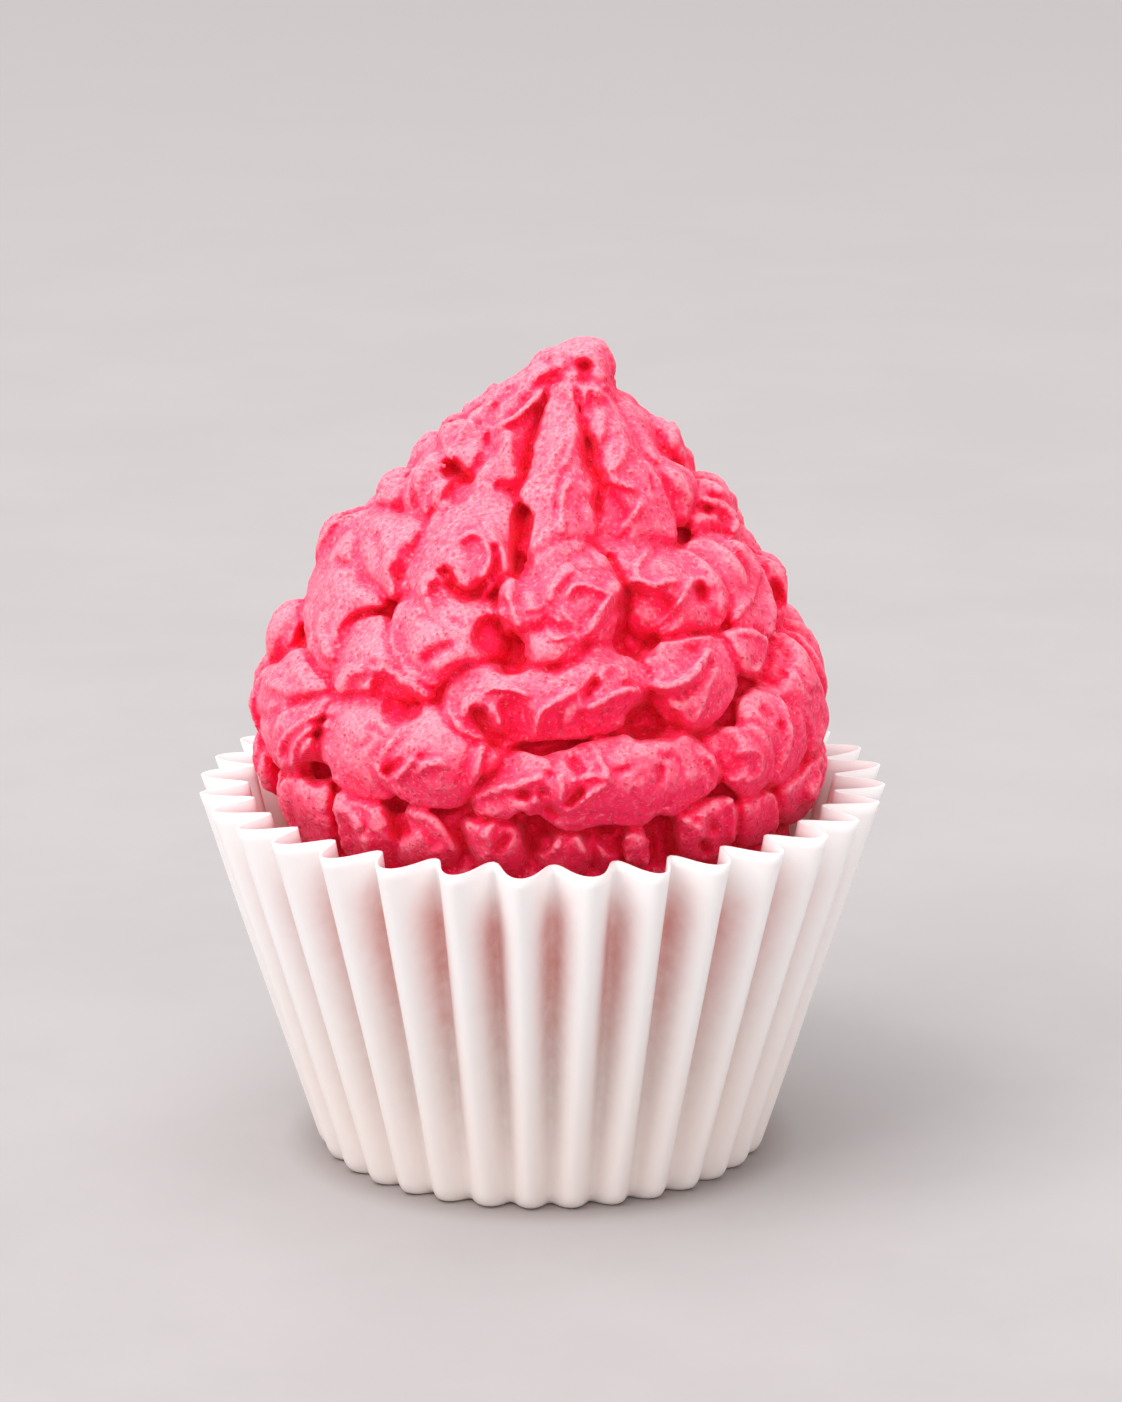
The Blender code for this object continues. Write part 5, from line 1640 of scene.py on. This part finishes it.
    def relief(self, mass: bpy.types.Object, rounds: int = 24) -> np.ndarray:
        """Measure how far each vertex stands out of its surroundings.

        Args:
            mass: The finished icing.
            rounds: How many times the surroundings are averaged.

        Returns:
            A number for each vertex, 0.5 where it is level.
        """
        places = points_of(mass)
        even = self.average(places, mass, rounds)
        stand = ((places - even) * self.normals(mass, 0)).sum(axis=1) / MM
        return np.clip(0.5 + stand / 1.2, 0.0, 1.0)

    def openness(self, mass: bpy.types.Object, reach: float = 7.0) -> np.ndarray:
        """Measure how freely each vertex sees the sky, which is brightest at the upper left, for the
        painted light and shade of the icing's colour.

        Args:
            mass: The finished icing.
            reach: How far away the icing still hides something, in millimetres.

        Returns:
            A number for each vertex, 1 where nothing is in its way.
        """
        rays = self.rays
        brightest = np.array(self.brightest)
        form = bmesh.new()
        form.from_mesh(mass.data)
        tree = BVHTree.FromBMesh(form)
        form.free()
        normals = self.normals(mass, 0)
        starts = points_of(mass) + 0.15 * MM * normals
        chance = np.random.default_rng(self.lobe_seed)
        free = np.zeros(len(starts))
        for ray in range(rays):
            turn = chance.uniform(0.0, 2.0 * math.pi, len(starts))
            level = (ray + 0.5) / rays
            flat = np.stack((np.cos(turn), np.sin(turn), chance.uniform(-1.0, 1.0, len(starts))), axis=1)
            side = np.cross(normals, flat)
            side /= np.maximum(np.linalg.norm(side, axis=1), 1e-9)[:, None]
            headings = math.sqrt(1.0 - level) * normals + math.sqrt(level) * side
            light = np.clip(0.45 + 0.9 * headings @ brightest, 0.1, 1.0) / (0.85 * rays)
            for i, (start, heading) in enumerate(zip(starts.tolist(), headings.tolist())):
                if tree.ray_cast(start, heading, reach * MM)[0] is None:
                    free[i] += light[i]
        return self.average(np.repeat(free[:, None], 3, axis=1), mass, 2)[:, 0]

    def neighbours(self, mass: bpy.types.Object) -> tuple[np.ndarray, np.ndarray]:
        """Return the ends of each edge and each vertex's number of edges."""
        edges = np.empty(len(mass.data.edges) * 2, dtype=np.int64)
        mass.data.edges.foreach_get("vertices", edges)
        return edges.reshape(-1, 2), np.bincount(edges, minlength=len(mass.data.vertices)).astype(float)

    def average(self, values: np.ndarray, mass: bpy.types.Object, rounds: int) -> np.ndarray:
        """Even out values over the surface.

        Args:
            values: Three numbers for each vertex.
            mass: The mesh.
            rounds: How many times each value is mixed with its neighbours'.

        Returns:
            The evened values.
        """
        edges, degree = self.neighbours(mass)
        even = values.copy()
        for _ in range(rounds):
            total = np.zeros_like(even)
            for axis in range(3):
                first, second = even[edges[:, 0], axis], even[edges[:, 1], axis]
                total[:, axis] = np.bincount(edges[:, 0], weights=second, minlength=len(even))
                total[:, axis] += np.bincount(edges[:, 1], weights=first, minlength=len(even))
            even = 0.5 * even + 0.5 * total / degree[:, None]
        return even

    def normals(self, mass: bpy.types.Object, rounds: int) -> np.ndarray:
        """Read the normals of the surface.

        Args:
            mass: The mesh.
            rounds: How many times they are evened.

        Returns:
            The evened normals.
        """
        normals = np.empty(len(mass.data.vertices) * 3)
        mass.data.vertices.foreach_get("normal", normals)
        even = self.average(normals.reshape(-1, 3), mass, rounds)
        return even / np.linalg.norm(even, axis=1)[:, None]

    def part_petals(self, spots: np.ndarray) -> np.ndarray:
        """Work out how far the surface sinks where one petal lies over another.

        Args:
            spots: Places across and up, in millimetres.

        Returns:
            The lift of each spot, zero or less.
        """
        gaps, ranks, strands = [], [], []
        for strand, petals in enumerate(FRONT_PETALS.values()):
            for petal in petals:
                gaps.append(petal.gap(spots))
                ranks.append(petal.crown + 0.01 * len(ranks))
                strands.append(strand)
        top = np.full(len(spots), -10.0)
        owner = np.full(len(spots), -1)
        for gap, rank, strand in zip(gaps, ranks, strands):
            higher = (gap < 0.0) & (rank > top)
            top[higher] = rank
            owner[higher] = strand
        sunken = np.zeros(len(spots))
        for gap, rank, strand in zip(gaps, ranks, strands):
            share = np.clip(gap / self.gap_reach, 0.0, 1.0)
            depth = np.where(owner == strand, self.joined_depth, self.gap_depth)
            beyond = depth * (1.0 - share) ** 1.4 * np.clip(0.5 + gap / 0.3, 0.0, 1.0)
            rounded = self.edge_drop * np.clip(1.0 + gap / self.edge_round, 0.0, 1.0) ** 2
            sunken = np.where((gap > 0.0) & (top < rank), np.maximum(sunken, beyond), sunken)
            sunken = np.where((gap <= 0.0) & (top == rank), np.maximum(sunken, rounded), sunken)
        return -sunken

    def fold(self, mass: bpy.types.Object, rear: bool) -> None:
        """Fold the side that faces the viewer, or the rear in the same way.

        Args:
            mass: The icing so far.
            rear: Whether the folds are mirrored to the rear.
        """
        mirror = np.array([1.0, -1.0 if rear else 1.0, 1.0])
        places = points_of(mass) / MM
        share = np.clip((places[:, 1] - self.front_edge) / (self.rear_edge - self.front_edge), 0.0, 1.0)
        places *= mirror
        normals = self.normals(mass, 10) * mirror
        toward = np.array(FRONT_VIEW.eye) - places
        toward /= np.linalg.norm(toward, axis=1)[:, None]
        facing = (normals * toward).sum(axis=1)
        strength = np.clip((facing - self.least_facing) / self.facing_ease, 0.0, 1.0)
        strength *= share if rear else 1.0 - share
        seen = np.flatnonzero(strength > 0.0)
        shift = np.array([3.1, 7.7, 1.3])
        drifts = [wander(places[seen], self.drift_size, turned) for turned in (shift, -shift)]
        spots = FRONT_VIEW.flatten(places[seen]) + self.drift * np.stack(drifts, axis=1)
        depth = 1.0 + self.swell * wander(places[seen], self.swell_size, 2.0 * shift)
        lift = np.zeros(len(seen))
        for fold in FRONT_FOLDS:
            line = fold.curve()
            above = spots > line.min(axis=0) - fold.half_width
            below = spots < line.max(axis=0) + fold.half_width
            near = (above & below).all(axis=1)
            lift[near] += fold.lift(spots[near])
        lift = np.clip(lift * depth, -self.most_sunk, self.most_raised) + depth * self.part_petals(spots)
        frontal = np.clip(facing[seen] / self.full_facing, 0.0, 1.0)[:, None]
        heading = frontal * toward[seen] + (1.0 - frontal) * normals[seen]
        places[seen] += (lift * strength[seen])[:, None] * heading
        set_points(mass, places * mirror * MM)

    def skin(self) -> BVHTree:
        """Make the pile's outline into a surface that rays can meet.

        Returns:
            The surface.
        """
        turns, levels = 96, 60
        corners = []
        for level in range(levels + 1):
            height = self.bottom + (self.pile.top - 0.01 - self.bottom) * level / levels
            radius = max(self.pile.radius_at(height), 0.01)
            for turn in range(turns):
                angle = 2.0 * math.pi * turn / turns
                x = self.pile.lean_at(height) + radius * math.cos(angle)
                corners.append((x, radius * math.sin(angle), height))
        faces = []
        for level in range(levels):
            low, high = level * turns, (level + 1) * turns
            for turn in range(turns):
                after = (turn + 1) % turns
                faces.append((low + turn, low + after, high + after, high + turn))
        return BVHTree.FromPolygons(corners, faces)

    def roughen(self, mass: bpy.types.Object) -> None:
        """Push small lumps and pits into the surface.

        Args:
            mass: The folded icing.
        """
        steps = 10
        patches = wander(points_of(mass) / MM, self.torn_size, np.array([2.5, 8.5, 4.5]))
        shares = np.clip(0.5 + 3.0 * patches, self.least_torn, 1.0)
        chosen = np.round(shares * steps).astype(int)
        torn = mass.vertex_groups.new(name="torn")
        for step in range(1, steps + 1):
            torn.add(np.flatnonzero(chosen == step).tolist(), step / steps, "REPLACE")
        for name, kind, size, strength, extra in (
            ("lumps", "CLOUDS", 1.9, 0.08, {"noise_depth": 2}),
            ("tears", "VORONOI", 1.5, 0.15, {"noise_intensity": 1.4}),
            ("pits", "VORONOI", 0.8, 0.16, {"noise_intensity": 1.6}),
        ):
            texture = bpy.data.textures.new(name, kind)
            texture.noise_scale = size * MM
            for key, value in extra.items():
                setattr(texture, key, value)
            finish_with(
                mass,
                "DISPLACE",
                texture=texture,
                texture_coords="LOCAL",
                mid_level=0.5,
                strength=strength * MM,
                vertex_group="" if name == "lumps" else "torn",
            )

    def build(self, case: "PaperCase") -> bpy.types.Object:
        """Build the icing.

        Args:
            case: The paper case that it is kept clear of.

        Returns:
            The icing.
        """
        mass = self.core()
        chance = np.random.default_rng(self.lobe_seed)
        lobes = [lobe for strand in self.strands.values() for lobe in strand]
        pieces = [lobe.model(f"lobe_{i}", self.pile, chance) for i, lobe in enumerate(lobes)]
        skin = self.skin()
        for strand, petals in FRONT_PETALS.items():
            pieces += [petal.model(f"{strand}_{i}", skin) for i, petal in enumerate(petals)]
        pieces += [self.mirrored(piece) for piece in pieces]
        self.gather(mass, pieces)
        voxel = self.voxel
        finish_with(mass, "REMESH", mode="VOXEL", voxel_size=voxel * MM)
        set_points(mass, self.average(points_of(mass), mass, self.even_rounds))
        self.fold(mass, rear=False)
        self.fold(mass, rear=True)
        finish_with(mass, "REMESH", mode="VOXEL", voxel_size=voxel * MM)
        self.roughen(mass)
        room = set_aside(self.room(case))
        finish_with(mass, "BOOLEAN", operation="INTERSECT", object=room, solver="MANIFOLD")
        count = sum(len(face.vertices) - 2 for face in mass.data.polygons)
        if count > self.triangles:
            finish_with(mass, "DECIMATE", ratio=self.triangles / count)
        smooth(mass)
        # relief and openness feed the icing's painted highlight and painted shade.
        for name, values in (("relief", self.relief(mass)), ("openness", self.openness(mass))):
            attribute = mass.data.attributes.new(name, "FLOAT", "POINT")
            attribute.data.foreach_set("value", values)
        mass.name = "piped_icing"
        mass.data.materials.clear()
        mass.data.materials.append(self.finish.make())
        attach(mass, "root")
        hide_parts("frosting")
        return mass


# The paper case


@dataclass
class PaperCase:
    """The pleated paper case, in millimetres."""

    pleats: int = 32
    points_per_pleat: int = 20
    turn: float = -3.4
    height: float = 38.4
    rim_ridge: float = 35.0
    rim_valley: float = 30.1
    foot_ridge: float = 22.8
    foot_valley: float = 21.2
    foot_round: float = 1.6
    foot_inset: float = 0.9
    thickness: float = 0.25
    levels: int = 36
    ridge_round: float = 0.62
    valley_round: float = 0.24
    unevenness: float = 0.22
    rim_unevenness: float = 0.25
    pleat_drift: float = 0.012
    foot_levels: float = 1.0 / 6.0
    rim_levels: float = 0.1
    seed: int = 3
    finish: PaperFinish = field(default_factory=PaperFinish)

    def ridge_at(self, height: float) -> float:
        """Return the radius of the pleats' ridges at a height."""
        return self.foot_ridge + (self.rim_ridge - self.foot_ridge) * height / self.height

    def valley_at(self, height: float) -> float:
        """Return the radius of the pleats' valleys at a height."""
        return self.foot_valley + (self.rim_valley - self.foot_valley) * height / self.height

    def wave(self, angle: float) -> float:
        """Work out how far out the paper is folded.

        Args:
            angle: How far round from the middle of a ridge, in radians.

        Returns:
            1 on a ridge and 0 in a valley, with rounded folds between.
        """
        away = math.acos(math.cos(self.pleats * angle)) / math.pi
        wave = 1.0 - away
        if away < self.ridge_round:
            wave = 1.0 - 0.5 * self.ridge_round - 0.5 * away**2 / self.ridge_round
        if wave < self.valley_round and away > 1.0 - self.valley_round:
            wave = 0.5 * self.valley_round + 0.5 * (1.0 - away) ** 2 / self.valley_round
        return (wave - 0.5 * self.valley_round) / (1.0 - 0.5 * self.ridge_round - 0.5 * self.valley_round)

    def build(self) -> bpy.types.Object:
        """Build the case.

        Returns:
            The case.
        """
        clear_choice()
        count = self.pleats * self.points_per_pleat
        bpy.ops.mesh.primitive_circle_add(vertices=count, radius=1.0, fill_type="TRIFAN")
        case = bpy.context.object
        bpy.ops.object.mode_set(mode="EDIT")
        bpy.ops.mesh.select_all(action="DESELECT")
        bpy.ops.mesh.select_mode(type="EDGE")
        bpy.ops.mesh.select_non_manifold(
            extend=False, use_wire=False, use_multi_face=False, use_verts=False
        )
        for _ in range(self.levels):
            bpy.ops.mesh.extrude_edges_move(TRANSFORM_OT_translate={"value": (0.0, 0.0, 1.0)})
        bpy.ops.mesh.select_all(action="SELECT")
        bpy.ops.mesh.normals_make_consistent(inside=False)
        bpy.ops.object.mode_set(mode="OBJECT")
        places = points_of(case)
        valley = np.zeros(len(places))
        for i, (x, y, level) in enumerate(places):
            if math.hypot(x, y) < 0.5:
                places[i] = (0.0, 0.0, 0.0)
                continue
            share = level / self.levels
            if share < self.foot_levels:
                height = self.foot_round * share / self.foot_levels
            else:
                rest = (share - self.foot_levels) / (1.0 - self.foot_levels)
                height = self.foot_round + (self.height - self.foot_round) * rest
            bend = min(height / self.foot_round, 1.0)
            inset = self.foot_inset * (1.0 - math.sqrt(1.0 - (1.0 - bend) ** 2)) if bend < 1.0 else 0.0
            angle = math.atan2(x, -y) - math.radians(self.turn)
            spot = Vector((3.0 * x, 3.0 * y, 0.02 * height))
            drift = noise.noise(spot + Vector((self.seed, 0.0, 0.0)))
            wobble = noise.noise(3.0 * spot + Vector((0.0, self.seed, 0.0)))
            wave = self.wave(angle + self.pleat_drift * drift)
            ridge = self.ridge_at(height) + self.unevenness * wobble * share
            low = self.valley_at(height) + self.unevenness * drift * share
            radius = low + (ridge - low) * wave - inset
            near_rim = max(share - 1.0 + self.rim_levels, 0.0) / self.rim_levels
            height += self.rim_unevenness * wobble * near_rim
            turned = angle + math.radians(self.turn)
            places[i] = (radius * math.sin(turned), -radius * math.cos(turned), max(height, 0.0))
            valley[i] = 1.0 - wave
        set_points(case, places * MM)
        tint = case.data.attributes.new("valley", "FLOAT", "POINT")
        tint.data.foreach_set("value", valley)
        finish_with(case, "SOLIDIFY", thickness=self.thickness * MM, offset=-1.0, use_even_offset=True)
        smooth(case)
        case.name = "pleated_case"
        case.data.materials.clear()
        case.data.materials.append(self.finish.make())
        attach(case, "root")
        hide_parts("paper_case")
        return case


# The sponge, the table and the lights


@dataclass
class Sponge:
    """The sponge inside the case, which keeps its solid's shape."""

    finish: SpongeFinish = field(default_factory=SpongeFinish)

    def build(self) -> bpy.types.Object:
        """Dress the sponge's solid.

        Returns:
            The sponge.
        """
        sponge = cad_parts["cake"]
        sponge.data.materials.clear()
        sponge.data.materials.append(self.finish.make())
        return sponge


@dataclass(frozen=True)
class Lamp:
    """One square soft light: its place and side in metres, its power in watts."""

    name: str
    place: tuple[float, float, float]
    size: float
    power: float

    def hang(self, target: tuple[float, float, float]) -> None:
        """Hang the light so that it faces a target.

        Args:
            target: What it faces.
        """
        clear_choice()
        turn = (Vector(target) - Vector(self.place)).to_track_quat("-Z", "Y").to_euler()
        bpy.ops.object.light_add(type="AREA", location=self.place, rotation=turn)
        lamp = bpy.context.object
        lamp.name = self.name
        lamp.data.size = self.size
        lamp.data.energy = self.power


@dataclass
class Studio:
    """The table, the lights and the camera, in metres."""

    table_size: float = 6.0
    eye_distance: float = 0.560
    eye_rise: float = 15.94
    eye_target: tuple[float, float, float] = (0.0, 0.0, 0.040)
    aim: tuple[float, float, float] = (0.00195, 0.00174, 0.0461)
    lens: float = 141.3
    sensor: float = 36.0
    sky: tuple[float, ...] = srgb(243, 240, 240)
    lit_spot: tuple[float, float, float] = (0.0, 0.0, 0.045)
    lamps: tuple[Lamp, ...] = (
        Lamp("window", (-1.6, -1.2, 2.4), 2.2, 60.0),
        Lamp("ceiling", (-0.2, 0.0, 2.6), 2.4, 28.0),
        Lamp("front_fill", (0.6, -2.6, 1.1), 1.8, 10.0),
    )
    finish: TableFinish = field(default_factory=TableFinish)

    def build_table(self) -> None:
        """Lay the plain pale table."""
        clear_choice()
        bpy.ops.mesh.primitive_plane_add(size=self.table_size)
        table = bpy.context.object
        table.name = "table"
        table.data.materials.append(self.finish.make())

    def build_lights(self) -> None:
        """Light the scene softly from the upper left."""
        world = bpy.data.worlds.new("soft_room")
        world.use_nodes = True
        sky = world.node_tree.nodes["Background"]
        sky.inputs["Color"].default_value = self.sky
        sky.inputs["Strength"].default_value = 1.0
        bpy.context.scene.world = world
        for lamp in self.lamps:
            lamp.hang(self.lit_spot)

    def build_camera(self) -> None:
        """Set the camera at the photograph's angle."""
        rise = math.radians(self.eye_rise)
        eye = Vector(self.eye_target) + self.eye_distance * Vector((0.0, -math.cos(rise), math.sin(rise)))
        toward = Vector(self.aim) - eye
        bpy.ops.object.camera_add(location=eye, rotation=toward.to_track_quat("-Z", "Y").to_euler())
        camera = bpy.context.object
        camera.data.sensor_width = self.sensor
        camera.data.lens = self.lens
        camera.data.clip_start = 0.01
        bpy.context.scene.camera = camera
        bpy.context.scene.view_settings.view_transform = "Standard"


def main() -> None:
    """Build the cupcake and the room round it."""
    logging.basicConfig(level=logging.INFO, format="%(message)s")
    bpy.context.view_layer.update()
    case = PaperCase()
    for piece in (case.build(), Sponge().build(), IcingPile().build(case)):
        LOG.info("%s: %d faces", piece.name, len(piece.data.polygons))
    studio = Studio()
    studio.build_table()
    studio.build_lights()
    studio.build_camera()


if __name__ == "__main__":
    main()
